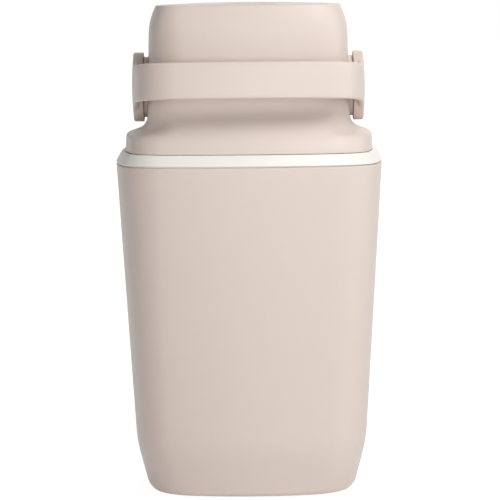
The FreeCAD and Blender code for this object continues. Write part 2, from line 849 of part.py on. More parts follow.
BAND_ROOT = "hub_radius - band_rounding"
root_r = num(BAND_ROOT)
half_band = num("band_height / 2")
flare = num("band_flare")
band_end = -num("band_reach + band_thickness")
flare_y = -math.sqrt((root_r + flare) ** 2 - (half_band + flare) ** 2)
lean = math.atan2(half_band + flare, -flare_y)
band_side = new_body("band_side")
side_view = Outline(band_side, "side_view", "YZ_Plane")
top_line = side_view.line((band_end, half_band), (flare_y, half_band))
top_flare = side_view.arc((flare_y, half_band + flare), flare, -math.pi / 2, -lean)
round_end = side_view.arc((0, 0), root_r, lean - math.pi, math.pi - lean)
low_flare = side_view.arc((flare_y, -half_band - flare), flare, lean, math.pi / 2)
low_line = side_view.line((flare_y, -half_band), (band_end, -half_band))
end_line = side_view.line((band_end, -half_band), (band_end, half_band))
for first, end, second, start in (
    (top_line, 2, top_flare, 1),
    (top_flare, 2, round_end, 2),
    (round_end, 1, low_flare, 1),
    (low_flare, 2, low_line, 1),
):
    side_view.rule("Tangent", first, end, second, start)
side_view.rule("Coincident", low_line, 2, end_line, 1)
side_view.rule("Coincident", end_line, 2, top_line, 1)
side_view.rule("Horizontal", top_line)
side_view.rule("Horizontal", low_line)
side_view.place(top_line, 1, "-(band_reach + band_thickness)", "band_height / 2")
side_view.place(low_line, 2, "-(band_reach + band_thickness)", "-(band_height / 2)")
side_view.place(round_end, 3, "0", "0")
side_view.size("Radius", round_end, formula=BAND_ROOT)
side_view.size("Radius", top_flare, formula="band_flare")
side_view.size("Radius", low_flare, formula="band_flare")
pad(band_side, "band_side_pad", side_view, "2 * (hub_face + hub_thickness)", both_ways=True)
band_blank = common("band_blank", [band_ring, band_side])
doc.recompute()

band = doc.addObject("Part::Fillet", "band")
band.Base = band_blank
rounding = num("band_rounding")
band.Edges = [
    (index, rounding, rounding)
    for index, edge in enumerate(band_blank.Shape.Edges, 1)
    if not isinstance(edge.Curve, (Part.Line, Part.LineSegment))
]

hub = new_body("hub")
hub_half = Outline(hub, "hub_half", "XZ_Plane")
hub_r = num("hub_radius")
edge_r = num("hub_edge")
dome_r = num("hub_dome_radius")
hub_out = num("hub_face + hub_thickness")
dome_x = hub_out - dome_r
edge_z = hub_r - edge_r
edge_x = dome_x + math.sqrt((dome_r - edge_r) ** 2 - edge_z ** 2)
tip = math.atan2(edge_z, edge_x - dome_x)
corners = [(num("key_face"), 0), (num("key_face"), num("axle_radius"))]
corners += [(num("hub_face"), num("axle_radius")), (num("hub_face"), hub_r), (edge_x, hub_r)]
axis_line = hub_half.line((hub_out, 0), corners[0])
runs = [hub_half.line(start, end) for start, end in zip(corners, corners[1:])]
edge_arc = hub_half.arc((edge_x, edge_z), edge_r, tip, math.pi / 2)
dome_arc = hub_half.arc((dome_x, 0), dome_r, 0, tip)
for first, second in zip([axis_line] + runs, runs):
    hub_half.rule("Coincident", first, 2, second, 1)
hub_half.rule("Tangent", runs[-1], 2, edge_arc, 2)
hub_half.rule("Tangent", edge_arc, 1, dome_arc, 2)
hub_half.rule("Coincident", dome_arc, 1, axis_line, 1)
hub_half.rule("Horizontal", runs[-1])
hub_half.rule("PointOnObject", dome_arc, 3, -1)
hub_half.place(axis_line, 1, "hub_face + hub_thickness", "0")
for run, x, y in zip(
    runs,
    ("key_face", "key_face", "hub_face", "hub_face"),
    ("0", "axle_radius", "axle_radius", "hub_radius"),
):
    hub_half.place(run, 1, x, y)
hub_half.size("Radius", edge_arc, formula="hub_edge")
hub_half.size("Radius", dome_arc, formula="hub_dome_radius")
hub_turn = hub.newObject("PartDesign::Revolution", "hub_turn")
hub_turn.Profile = hub_half.sketch
hub_turn.ReferenceAxis = (hub_half.sketch, ["H_Axis"])
hub_turn.Angle = 360
doc.recompute()

HALF_KEY = "key_size / 2"
key = block("key", ("key_end", "key_face"), ("-(key_size / 2)", HALF_KEY), ("-(key_size / 2)", HALF_KEY))
axle_hole = rod("axle_hole", "x", ("key_end", "0", "0"), "screw_radius + fit_gap", "screw_depth")
handle_solid = fuse("handle_solid", [band] + pair("hub_left", hub) + pair("key_left", key))
handle = cut("handle", handle_solid, pair("axle_hole_left", axle_hole))
keep("handle", on_pivot(handle))

# Lock hooks, keyed on the axles: straight back at rest, under the studs when the handle is up
def on_circle(radius, angle):
    return (radius * math.cos(angle), radius * math.sin(angle))


HOOK_TURN = "(handle_lift + handle_tilt - 90)"
FINGER_IN = "(hook_radius + stud_radius + hook_clearance)"
FINGER_OUT = "(hook_radius + stud_radius + hook_clearance + hook_finger)"
LEAD = f"({HOOK_TURN} - hook_lead)"
TRAIL = f"({HOOK_TURN} + hook_trail)"
ARM_TURN = f"({HOOK_TURN} + hook_arm_angle)"
hook = new_body("hook")
eye_plan = Outline(hook, "hook_eye_plan", "YZ_Plane", "hook_back").circle("0", "0", "hook_eye")
pad(hook, "hook_eye_pad", eye_plan, "hook_thickness")
ARM_LENGTH = f"({FINGER_IN} + hook_finger / 2)"
ARM_Y = f"{ARM_LENGTH} * cos({ARM_TURN})"
ARM_Z = f"{ARM_LENGTH} * sin({ARM_TURN})"
SIDE_Y = f"hook_arm / 2 * sin({ARM_TURN})"
SIDE_Z = f"hook_arm / 2 * cos({ARM_TURN})"
arm_plan = Outline(hook, "hook_arm_plan", "YZ_Plane", "hook_back").polygon([
    (SIDE_Y, f"-({SIDE_Z})"),
    (f"{ARM_Y} + {SIDE_Y}", f"{ARM_Z} - {SIDE_Z}"),
    (f"{ARM_Y} - {SIDE_Y}", f"{ARM_Z} + {SIDE_Z}"),
    (f"-({SIDE_Y})", SIDE_Z),
])
pad(hook, "hook_arm_pad", arm_plan, "hook_thickness")
finger_plan = Outline(hook, "hook_finger_plan", "YZ_Plane", "hook_back")
lead = math.radians(num(LEAD))
trail = math.radians(num(TRAIL))
tip_line = finger_plan.line(
    on_circle(num(FINGER_IN), lead), on_circle(num(FINGER_OUT), lead)
)
outer_arc = finger_plan.arc((0, 0), num(FINGER_OUT), lead, trail)
root_line = finger_plan.line(
    on_circle(num(FINGER_OUT), trail), on_circle(num(FINGER_IN), trail)
)
inner_arc = finger_plan.arc((0, 0), num(FINGER_IN), lead, trail)
for first, end, second, start in (
    (tip_line, 2, outer_arc, 1),
    (outer_arc, 2, root_line, 1),
    (root_line, 2, inner_arc, 2),
    (inner_arc, 1, tip_line, 1),
):
    finger_plan.rule("Coincident", first, end, second, start)
for curve in (outer_arc, inner_arc):
    finger_plan.place(curve, 3, "0", "0")
finger_plan.place(tip_line, 1, f"{FINGER_IN} * cos({LEAD})", f"{FINGER_IN} * sin({LEAD})")
finger_plan.place(tip_line, 2, f"{FINGER_OUT} * cos({LEAD})", f"{FINGER_OUT} * sin({LEAD})")
finger_plan.place(root_line, 1, y=f"{FINGER_OUT} * sin({TRAIL})")
finger_plan.place(root_line, 2, y=f"{FINGER_IN} * sin({TRAIL})")
pad(hook, "hook_finger_pad", finger_plan, "hook_thickness")
KEYWAY = "(key_size / 2 + fit_gap)"
keyway = block("keyway", ("hook_back", "key_face"), ("-" + KEYWAY, KEYWAY), ("-" + KEYWAY, KEYWAY))
right_hook = cut("right_lock_hook", hook, [keyway])
keep("right_lock_hook", on_pivot(right_hook))
keep("left_lock_hook", mirror("left_lock_hook", right_hook))

# Washers and screws that hold the hooks on the axles
WASHER_BACK = "key_end - washer_thickness"
washer = cut(
    "washer",
    rod("washer_disc", "x", (WASHER_BACK, "0", "0"), "washer_radius", "washer_thickness"),
    [rod("washer_hole", "x", (WASHER_BACK, "0", "0"), "screw_radius + fit_gap", "washer_thickness")],
)
keep("hook_washers", on_pivot(group("hook_washers", pair("washer_left", washer))))
HEAD_BACK = WASHER_BACK + " - screw_head"
hook_screw = fuse("hook_screw", [
    rod("hook_screw_head", "x", (HEAD_BACK, "0", "0"), "screw_head_radius", "screw_head"),
    rod("hook_screw_shank", "x", (HEAD_BACK, "0", "0"),
        "screw_radius", "screw_head + washer_thickness + screw_depth"),
])
keep("hook_screws", on_pivot(group("hook_screws", pair("hook_screw_left", hook_screw))))

# Chute inside the neck, hung by its flange from the hood's ledge
CHUTE_LENGTH = "chute_drop + flange_thickness"
flange = common("flange", [
    rim_plan("flange_plate", "rim_width + flange_gap", "ledge_top", "flange_thickness"),
    block(
        "flange_room",
        ("-half_width", "half_width"),
        ("-half_depth", "chute_rear + flange_rear"),
        ("ledge_top", "ledge_top + flange_thickness"),
    ),
])
chute_solid = fuse(
    "chute_solid", [chute_prism("chute_tube", "chute_wall", "chute_bottom", CHUTE_LENGTH), flange]
)
FLAP_FRONT = "chute_front - flap_end_gap"
FLAP_REAR = "chute_rear - flap_end_gap"
PIN_START = ("flap_x", "-(chute_front + chute_wall)", "flap_height")
PIN_LENGTH = "chute_front + chute_rear + 2 * chute_wall"
pin_bore = rod("flap_pin_bore", "y", PIN_START, "flap_pin_radius + fit_gap", PIN_LENGTH)
keep("chute", cut(
    "chute", chute_solid,
    [chute_prism("chute_hollow", "0", "chute_bottom", CHUTE_LENGTH)]
    + screw_holes + pair("flap_pin_bore_left", pin_bore),
))
FLANGE_TOP = "ledge_top + flange_thickness"
chute_screws = [
    fuse(f"chute_screw_{index}", [
        rod(f"chute_screw_head_{index}", "z", (x, y, FLANGE_TOP),
            "chute_screw_head", "chute_screw_head_height"),
        rod(f"chute_screw_shank_{index}", "z", (x, y, SCREW_FOOT),
            "chute_screw_radius", "chute_screw_depth + chute_screw_head_height"),
    ])
    for index, (x, y) in enumerate(SCREW_PLACES)
]
keep("chute_screws", group("chute_screws", chute_screws))

# Odour flaps on pins across the chute, each with a soft lip and a torsion spring
right_pin = keep("right_flap_pin", rod("right_flap_pin", "y", PIN_START, "flap_pin_radius", PIN_LENGTH))
keep("left_flap_pin", mirror("left_flap_pin", right_pin))
FLAP_SPAN = (f"-({FLAP_FRONT})", FLAP_REAR)
plate = block(
    "flap_plate",
    ("flap_middle_gap + lip_width", "flap_x"),
    FLAP_SPAN,
    ("flap_height - flap_thickness / 2", "flap_height + flap_thickness / 2"),
)
BARREL_FRONT = f"-({FLAP_FRONT} - spring_room)"
barrel = rod(
    "flap_barrel_rod", "y", ("flap_x", BARREL_FRONT, "flap_height"),
    "flap_barrel", f"{FLAP_REAR} - ({BARREL_FRONT})",
)
SPRING_OUT = "(flap_pin_radius + spring_play + spring_wire)"
spring_notch = block(
    "spring_notch",
    (f"flap_x - {SPRING_OUT} - flap_end_gap", "chute_x"),
    (f"-({FLAP_FRONT})", BARREL_FRONT),
    ("flap_height - flap_barrel", "flap_height + flap_barrel"),
)
right_flap = keep("right_flap", cut(
    "right_flap", fuse("flap_solid", [plate, barrel]), [spring_notch, pin_bore]
))
keep("left_flap", mirror("left_flap", right_flap))
right_lip = keep("right_flap_lip", block(
    "right_flap_lip",
    ("flap_middle_gap", "flap_middle_gap + lip_width"),
    FLAP_SPAN,
    ("flap_height - lip_thickness / 2", "flap_height + lip_thickness / 2"),
))
keep("left_flap_lip", mirror("left_flap_lip", right_lip))
SPRING_START = ("flap_x", f"-({FLAP_FRONT})", "flap_height")
SPRING_LENGTH = "spring_room - spring_play"
LEG_MID = "flap_x + flap_pin_radius + spring_play + spring_wire / 2"
LEG_HALF = "spring_leg_width / 2"
spring_coil = cut(
    "spring_coil",
    rod("spring_tube", "y", SPRING_START, SPRING_OUT, SPRING_LENGTH),
    [rod("spring_eye", "y", SPRING_START, "flap_pin_radius + spring_play", SPRING_LENGTH)],
)
spring_end = block(
    "spring_end",
    (f"{LEG_MID} - {LEG_HALF}", f"{LEG_MID} + {LEG_HALF}"),
    (f"-({FLAP_FRONT})", f"-({FLAP_FRONT}) + spring_wire"),
    ("flap_height", "flap_height + spring_leg"),
)
right_spring = keep("right_flap_spring", fuse("right_flap_spring", [spring_coil, spring_end]))
keep("left_flap_spring", mirror("left_flap_spring", right_spring))

# Lid and the fixed bridge behind it, cut from one crowned plate, with the lid's hinge between them
CROWN_RADIUS = "top_half_width^2 / (2 * lid_crown)"
crown = doc.addObject("Part::Sphere", "crown")
crown.Placement.Rotation = Rotation(Vector(1, 0, 0), 90)
bind(crown, "Radius", CROWN_RADIUS)
put(crown, "0", "0", f"hood_top + lid_crown - {CROWN_RADIUS}")
top_block = common("top_block", [
    rim_plan("top_plate", "rim_width + lid_gap", "ledge_top", "recess_depth + lid_crown * 2"),
    crown,
])
TALL = "hood_top + recess_depth"
lid_zone = fuse("lid_zone", [
    block("lid_room", ("-half_width", "half_width"),
          ("-half_depth", "lid_hinge_y - barrel_room"), ("lid_bottom", TALL)),
    block("lid_tongue", ("-lid_knuckle_half", "lid_knuckle_half"),
          ("0", "lid_hinge_y"), ("lid_bottom", TALL)),
])
lid_barrel = rod(
    "lid_barrel_rod", "x", ("-lid_knuckle_half", "lid_hinge_y", "lid_hinge_z"),
    "lid_barrel", "2 * lid_knuckle_half",
)
lid_bore = rod(
    "lid_bore", "x", ("-bridge_reach", "lid_hinge_y", "lid_hinge_z"),
    "lid_pin_radius + fit_gap", "2 * bridge_reach",
)
scoop = new_body("scoop")
scoop_plan = Outline(scoop, "scoop_plan", "XY_Plane", "hood_top - scoop_depth")
scoop_plan.rounded(
    "-(scoop_width / 2)", "scoop_width / 2",
    "-(top_half_depth - scoop_setback)", "-(top_half_depth - scoop_setback - scoop_length)",
    "scoop_length * scoop_rounding",
)
pad(scoop, "scoop_pad", scoop_plan, "recess_depth")
keep("lid", cut(
    "lid",
    fuse("lid_solid", [common("lid_cut", [top_block, lid_zone]), lid_barrel]),
    [lid_bore, scoop],
))
BRIDGE_INNER = "lid_knuckle_half + knuckle_gap"
bridge_zone = fuse("bridge_zone", [
    block("bridge_room", ("-half_width", "half_width"),
          ("lid_hinge_y + barrel_room", "half_depth"), ("ledge_top", TALL)),
] + pair("bridge_side_left", block(
    "bridge_side", (BRIDGE_INNER, "half_width"),
    ("lid_hinge_y", "half_depth"), ("ledge_top", "lid_hinge_z + lid_barrel - bridge_step"),
)))
bridge_barrel = rod(
    "bridge_barrel", "x", (BRIDGE_INNER, "lid_hinge_y", "lid_hinge_z"),
    "lid_barrel", f"bridge_reach - ({BRIDGE_INNER})",
)
keep("lid_bridge", cut(
    "lid_bridge",
    fuse("bridge_solid", [common("bridge_cut", [top_block, bridge_zone])]
         + pair("bridge_barrel_left", bridge_barrel)),
    [lid_bore],
))
keep("lid_hinge_pin", rod(
    "lid_hinge_pin", "x", ("-bridge_reach", "lid_hinge_y", "lid_hinge_z"),
    "lid_pin_radius", "2 * bridge_reach",
))
keep("lid_liner", chute_prism(
    "lid_liner", "-liner_inset", "lid_bottom - liner_thickness", "liner_thickness", "liner_corner"
))
SEAL_LOW = "ledge_top + flange_thickness + seal_gap"
SEAL_HEIGHT = f"lid_bottom - ({SEAL_LOW})"
seal_out = chute_prism("lid_seal_out", "lid_seal_offset + lid_seal_width", SEAL_LOW, SEAL_HEIGHT)
seal_in = chute_prism("lid_seal_in", "lid_seal_offset", SEAL_LOW, SEAL_HEIGHT)
keep("lid_seal", cut("lid_seal", seal_out, [seal_in]))

# Every object must be sound before its file is written
doc.recompute()
for item in doc.Objects:
    if {"Invalid", "Error"} & set(item.State):
        raise RuntimeError(f"{item.Name} did not build: {item.State}")
os.makedirs("parts", exist_ok=True)
for label, item in nodes.items():
    item.Label = label
    shape = item.Shape
    if shape.isNull() or not shape.isValid() or not shape.Solids:
        raise RuntimeError(f"{label} has no sound solid")
    shape.exportStep(f"parts/{label}.step")
    box = shape.BoundBox
    print(f"{label:18s} solids {len(shape.Solids)} volume {shape.Volume / 1000:8.2f} cm3 "
          f"X {box.XMin:7.1f} {box.XMax:7.1f} Y {box.YMin:7.1f} {box.YMax:7.1f} "
          f"Z {box.ZMin:6.1f} {box.ZMax:6.1f}")
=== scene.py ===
# %% [markdown]
# # A diaper pail
# The pail is a tapered tub of satin plastic with a white collar, a hood with a lid in its top, and a
# band handle. The engineering model is loaded first and stays where it is: each piece that is
# modelled here takes its place from a node of that model and moves with one of its bodies.

# %% Load the frame
import json
import math

import bmesh
import bpy
from mathutils import Matrix, Vector


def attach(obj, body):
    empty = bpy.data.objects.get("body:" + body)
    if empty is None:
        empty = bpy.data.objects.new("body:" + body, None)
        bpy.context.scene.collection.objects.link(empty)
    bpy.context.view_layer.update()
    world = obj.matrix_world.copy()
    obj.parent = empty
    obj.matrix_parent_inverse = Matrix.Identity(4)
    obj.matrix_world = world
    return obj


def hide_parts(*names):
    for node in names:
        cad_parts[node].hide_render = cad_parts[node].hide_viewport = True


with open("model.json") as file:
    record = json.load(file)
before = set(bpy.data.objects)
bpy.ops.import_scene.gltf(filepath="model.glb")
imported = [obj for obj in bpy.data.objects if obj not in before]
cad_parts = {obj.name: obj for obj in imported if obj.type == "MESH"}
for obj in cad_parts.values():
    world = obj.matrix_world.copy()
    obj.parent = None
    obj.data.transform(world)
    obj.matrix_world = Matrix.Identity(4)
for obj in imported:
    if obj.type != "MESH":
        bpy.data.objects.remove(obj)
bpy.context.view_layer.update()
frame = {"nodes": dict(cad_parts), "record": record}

MM = 0.001

# %% [markdown]
# ## Outlines
# Seen from above, every shell of the pail is a rounded square: four slightly bowed sides and four
# tighter corners, all meeting smoothly. A superellipse would be close, but arcs have sizes that can
# be named. Where an arc meets another, light would show a faint crease, so the points are relaxed
# towards their neighbours afterwards. Points sit half a step away from the middle of each side, so
# none lies on an axis and every outline can be sorted by angle. All sizes are in millimetres until
# they become a mesh.

# %% The rounded square
SIDE_STEPS = 10
CORNER_STEPS = 18
RELAX_PASSES = 8


def relaxed(outline):
    """The outline with each point drawn towards its neighbours, so that the curve tightens gently."""
    for _ in range(RELAX_PASSES):
        before = outline[-1:] + outline[:-1]
        after = outline[1:] + outline[:1]
        outline = [
            ((a[0] + 2 * b[0] + c[0]) / 4, (a[1] + 2 * b[1] + c[1]) / 4)
            for a, b, c in zip(before, outline, after)
        ]
    return outline


def whole(quarter):
    """An outline from its first quarter, which is mirrored twice."""
    half = quarter + [(-x, y) for x, y in reversed(quarter)]
    return half + [(-x, -y) for x, y in half]


def rounded_square(half_x, half_y, bow, corner, side_steps=SIDE_STEPS):
    """Points round a rounded square whose sides have the radius bow and its corners the radius corner."""
    side_x = half_x - bow
    side_y = half_y - bow
    span = math.hypot(side_x, side_y)
    lift = math.sqrt((bow - corner) ** 2 - span ** 2 / 4)
    turn_x = side_x / 2 - side_y / span * lift
    turn_y = side_y / 2 - side_x / span * lift
    low = math.atan2(turn_y, turn_x - side_x)
    high = math.atan2(turn_y - side_y, turn_x)
    arcs = [
        (side_x, 0, bow, 0, low, side_steps),
        (turn_x, turn_y, corner, low, high, CORNER_STEPS),
        (0, side_y, bow, high, math.pi / 2, side_steps),
    ]
    quarter = []
    for x, y, radius, first, last, steps in arcs:
        for step in range(steps):
            angle = first + (last - first) * (step + 0.5) / steps
            quarter.append((x + radius * math.cos(angle), y + radius * math.sin(angle)))
    return relaxed(whole(quarter))


def at_height(outline, height):
    return [Vector((x, y, height)) * MM for x, y in outline]


print("points in an outline:", len(rounded_square(100, 100, 300, 40)))

# %% [markdown]
# ## Profiles
# A profile says how far a shell's side stands from the middle at each height. It is drawn as a few
# corner points, and each corner is rounded by an arc of its own radius, as a moulding's would be.

# %% Rounded profiles
ARC_STEPS = 6


def rounded_path(*corners):
    """Points along straight runs; a corner given with a radius is rounded by it."""
    points = [Vector(corner[:2]) for corner in corners]
    path = [points[0]]
    for before, here, after, corner in zip(points, points[1:], points[2:], corners[1:]):
        if len(corner) == 2:
            path.append(here)
            continue
        radius = corner[2]
        into = (here - before).normalized()
        away = (after - here).normalized()
        half_turn = into.angle(away) / 2
        centre = here + (away - into).normalized() * (radius / math.cos(half_turn))
        start = here - into * radius * math.tan(half_turn) - centre
        end = here + away * radius * math.tan(half_turn) - centre
        for step in range(ARC_STEPS + 1):
            path.append(centre + start.lerp(end, step / ARC_STEPS).normalized() * radius)
    return path + [points[-1]]


def with_steps(path, longest):
    """The same path with long runs cut into even steps."""
    stepped = [path[0]]
    for start, end in zip(path, path[1:]):
        count = math.ceil((end - start).length / longest)
        stepped += [start.lerp(end, step / count) for step in range(1, count + 1)]
    return stepped


def half_at(path, height):
    """Half size at a height, for a path that rises all the way."""
    for low, high in zip(path, path[1:]):
        if height <= high.y:
            return low.x + (high.x - low.x) * (height - low.y) / (high.y - low.y)
    return path[-1].x


sample = rounded_path((10, 0), (10, 20, 5), (0, 20))
print("a rounded corner has", len(sample), "points; half size at height 18:", round(half_at(sample, 18), 2))

# %% [markdown]
# ## Skins
# A hollow moulding is one ring of edges that is extruded again and again along the profile: up the
# outside, over the rim and down the inside. A ring starts as a circle whose vertices are slid onto
# the outline. A lathe would give the same skin for a round bin, but this one has corners.

# %% Extruding a skin through rings


def deselect():
    if bpy.context.mode != "OBJECT":
        bpy.ops.object.mode_set(mode="OBJECT")
    bpy.ops.object.select_all(action="DESELECT")


def edit_all():
    """Open the active piece's mesh with all of it selected."""
    bpy.ops.object.mode_set(mode="EDIT")
    bpy.ops.mesh.select_all(action="SELECT")


def angle_of(place):
    return math.atan2(place.y, place.x)


def slide_ring(places):
    """Move the selected ring's vertices onto the places, matched by their angle round the middle."""
    mesh = bpy.context.object.data
    ring = [vert for vert in bmesh.from_edit_mesh(mesh).verts if vert.select]
    ring.sort(key=lambda vert: angle_of(vert.co))
    for vert, place in zip(ring, sorted(places, key=angle_of)):
        vert.co = place
    bmesh.update_edit_mesh(mesh)


def skin(name, rings, capped):
    """One ring extruded through the others, capped at its ends or closed where the last meets the first."""
    deselect()
    bpy.ops.mesh.primitive_circle_add(vertices=len(rings[0]))
    piece = bpy.context.object
    piece.name = name
    edit_all()
    slide_ring(rings[0])
    if capped:
        bpy.ops.mesh.edge_face_add()
    for ring in rings[1:]:
        bpy.ops.mesh.extrude_edges_indiv()
        slide_ring(ring)
    if capped:
        bpy.ops.mesh.edge_face_add()
    return closed(piece)


SMOOTH_UP_TO = math.radians(32)
WELD = 0.002 * MM


def closed(piece):
    """Weld the seams, turn the faces outwards and shade them smooth up to a sharp edge."""
    if bpy.context.mode == "OBJECT":
        bpy.ops.object.mode_set(mode="EDIT")
    bpy.ops.mesh.select_all(action="SELECT")
    bpy.ops.mesh.remove_doubles(threshold=WELD)
    bpy.ops.mesh.normals_make_consistent(inside=False)
    bpy.ops.object.mode_set(mode="OBJECT")
    bpy.ops.object.shade_smooth_by_angle(angle=SMOOTH_UP_TO)
    print(piece.name, len(piece.data.polygons), "faces")
    return piece


print("faces are shaded smooth up to", round(math.degrees(SMOOTH_UP_TO)), "degrees")

# %% [markdown]
# ## Finishes
# Shader maths reads best as plain sums, so a small class wraps a socket and adds a Math node for each
# operator. Every other node comes from one method.

# %% Shader helpers


class Link:
    """A shader socket that takes part in Python sums."""

    def __init__(self, finish, socket):
        self.finish = finish
        self.socket = socket

    def maths(self, operation, first, second):
        return self.finish.node("ShaderNodeMath", {"operation": operation}, {0: first, 1: second})

    def __add__(self, other):
        return self.maths("ADD", self, other)

    def __mul__(self, other):
        return self.maths("MULTIPLY", self, other)

    __radd__ = __add__
    __rmul__ = __mul__


class Finish:
    """A material or a world whose nodes are added one by one."""

    def __init__(self, owner, shader="Principled BSDF"):
        owner.use_nodes = True
        self.owner = owner
        self.tree = owner.node_tree
        self.shader = self.tree.nodes[shader]

    def node(self, kind, settings, inputs, output=0):
        node = self.tree.nodes.new(kind)
        for setting, value in settings.items():
            setattr(node, setting, value)
        for socket, value in inputs.items():
            self.feed(node.inputs[socket], value)
        return Link(self, node.outputs[output])

    def feed(self, socket, value):
        if isinstance(value, Link):
            self.tree.links.new(value.socket, socket)
        else:
            socket.default_value = value

    def set(self, **sockets):
        for name, value in sockets.items():
            self.feed(self.shader.inputs[name.replace("_", " ")], value)

    def place(self, stretch=(1, 1, 1)):
        own = self.node("ShaderNodeTexCoord", {}, {}, "Object")
        return self.node("ShaderNodeMapping", {}, {"Vector": own, "Scale": stretch})

    def noise(self, scale, detail=3.0, stretch=(1, 1, 1)):
        place = self.place(stretch)
        return self.node("ShaderNodeTexNoise", {}, {"Vector": place, "Scale": scale, "Detail": detail})

    def blend(self, mask, dark, pale):
        settings = {"data_type": "RGBA", "clamp_factor": True}
        return self.node("ShaderNodeMix", settings, {0: mask, 6: (*dark, 1), 7: (*pale, 1)}, 2)

    def bump(self, height, strength, distance):
        inputs = {"Height": height, "Strength": strength, "Distance": distance}
        return self.node("ShaderNodeBump", {}, inputs)


print("a finish offers:", ", ".join(name for name in vars(Finish) if not name.startswith("_")))

# %% [markdown]
# ## Plastics, rubber and steel
# Satin plastic takes a fine grain from its mould, a fraction of a millimetre across, and its colour
# and gloss drift a little over a large part. The same recipe serves three plastics.

# %% The finishes
DRIFT = 7
CLOUD = 60
GRAIN = 1600
GRAIN_DEPTH = 0.1 * MM


def satin_plastic(name, dark, pale, roughness):
    finish = Finish(bpy.data.materials.new(name))
    drift = finish.noise(DRIFT, detail=2)
    cloud = finish.noise(CLOUD, detail=3)
    grain = finish.noise(GRAIN, detail=2)
    finish.set(
        Base_Color=finish.blend(drift * 0.7 + cloud * 0.3, dark, pale),
        Roughness=roughness - 0.05 + 0.1 * cloud,
        Normal=finish.bump(grain, strength=0.12, distance=GRAIN_DEPTH),
    )
    return finish.owner


blush = satin_plastic("blush_plastic", (0.66, 0.562, 0.503), (0.70, 0.599, 0.539), 0.46)
white = satin_plastic("white_plastic", (0.81, 0.785, 0.745), (0.85, 0.825, 0.785), 0.42)
grey = satin_plastic("grey_plastic", (0.42, 0.41, 0.40), (0.5, 0.49, 0.47), 0.5)


RUBBER_CLOUD = 90
RUBBER_GRAIN = 2500
BRUSH_LINES = 900
BRUSH_STRETCH = (0.04, 1, 1)


def soft_rubber():
    finish = Finish(bpy.data.materials.new("soft_rubber"))
    cloud = finish.noise(RUBBER_CLOUD, detail=4)
    grain = finish.noise(RUBBER_GRAIN, detail=2)
    finish.set(
        Base_Color=finish.blend(cloud, (0.12, 0.115, 0.11), (0.18, 0.17, 0.165)),
        Roughness=0.7 + 0.15 * cloud,
        Normal=finish.bump(grain, strength=0.2, distance=GRAIN_DEPTH),
    )
    return finish.owner


def brushed_steel():
    finish = Finish(bpy.data.materials.new("brushed_steel"))
    lines = finish.noise(BRUSH_LINES, detail=3, stretch=BRUSH_STRETCH)
    finish.set(
        Base_Color=finish.blend(lines, (0.52, 0.52, 0.53), (0.66, 0.66, 0.67)),
        Roughness=0.24 + 0.2 * lines,
        Metallic=1.0,
        Normal=finish.bump(lines, strength=0.1, distance=GRAIN_DEPTH / 2),
    )
    return finish.owner


FINISHES = {
    "blush_plastic": blush,
    "white_plastic": white,
    "grey_plastic": grey,
    "soft_rubber": soft_rubber(),
    "steel": brushed_steel(),
}
for part in frame["record"]["subparts"]:
    node = frame["nodes"][part["node"]]
    node.data.materials.clear()
    node.data.materials.append(FINISHES[part["material_slot"]])
print("finishes:", ", ".join(FINISHES))

# %% [markdown]
# ## Handing a piece to the frame
# A finished piece takes the place of one node of the engineering model. It has to say which node it
# stands for, which body carries it when a joint moves, and which finish it has, so that is one helper.

# %% Dressing a node


def finish_piece(piece, node, body, slot):
    """The piece stands for a node of the frame, moves with a body and takes a finish."""
    piece.data.materials.clear()
    piece.data.materials.append(FINISHES[slot])
    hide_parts(node)
    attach(piece, body)
    print(piece.name, "stands for", node, "on", body)


# %% [markdown]
# ## Tub
# The tub is squarish at its mouth and rounder at its foot, drawn in at the heel, and its wall is
# 3 mm thick. The mouth's edge has a small rounding that catches a line of light below the collar.
# Solidify could give the wall its thickness, but rings down the inside leave the floor and the rim
# as thick as they are named.

# %% The tub
MOUTH_HALF = 119
MOUTH_BOW = 420
MOUTH_CORNER = 48
TUB_TOP = 291.1
TUB_FOOT = 1.2
TUB_WALL = 3
TUB_FLOOR = 3.2
TUB_DRAFT = math.radians(3.5)
RIM_ROUND = 0.8
HEEL_HEIGHT = 40
HEEL_HALF = MOUTH_HALF - (TUB_TOP - RIM_ROUND - HEEL_HEIGHT) * math.tan(TUB_DRAFT)
FOOT_HALF = 93.5
FOOT_BOW = 230
FOOT_CORNER = 42
FOOT_FLAT = 12
FOOT_ROUND = 6
HEEL_ROUND = 120
ROUND_FROM = 262.1
LONGEST_RUN = 12
tub_path = with_steps(rounded_path(
    (FOOT_HALF - FOOT_FLAT, TUB_FOOT),
    (FOOT_HALF, TUB_FOOT, FOOT_ROUND),
    (HEEL_HALF, HEEL_HEIGHT, HEEL_ROUND),
    (MOUTH_HALF, TUB_TOP - RIM_ROUND, RIM_ROUND),
    (MOUTH_HALF - RIM_ROUND, TUB_TOP),
), LONGEST_RUN)


def tub_outline(half, height, inset=0):
    """The tub's plan at a height: below ROUND_FROM its sides bow more and more."""
    drawn_in = MOUTH_HALF - half + inset
    share = max(0, (ROUND_FROM - height) / (ROUND_FROM - TUB_FOOT)) ** 2
    bow = (1 - share) * (MOUTH_BOW - drawn_in) + share * (FOOT_BOW - inset)
    corner = (1 - share) * (MOUTH_CORNER - drawn_in) + share * (FOOT_CORNER - inset)
    return rounded_square(half - inset, half - inset, bow, corner)


tub_rings = [at_height(tub_outline(half, height), height) for half, height in tub_path]
brim = half_at(tub_path, TUB_TOP - TUB_FLOOR)
tub_rings.append(at_height(tub_outline(brim, TUB_TOP - TUB_FLOOR, TUB_WALL - RIM_ROUND / 2), TUB_TOP))
for half, height in reversed(tub_path):
    if height + TUB_FLOOR < TUB_TOP - RIM_ROUND / 2:
        tub_rings.append(at_height(tub_outline(half, height, TUB_WALL), height + TUB_FLOOR))
tub = skin("tub_shell", tub_rings, capped=True)
finish_piece(tub, "tub", "base", "blush_plastic")

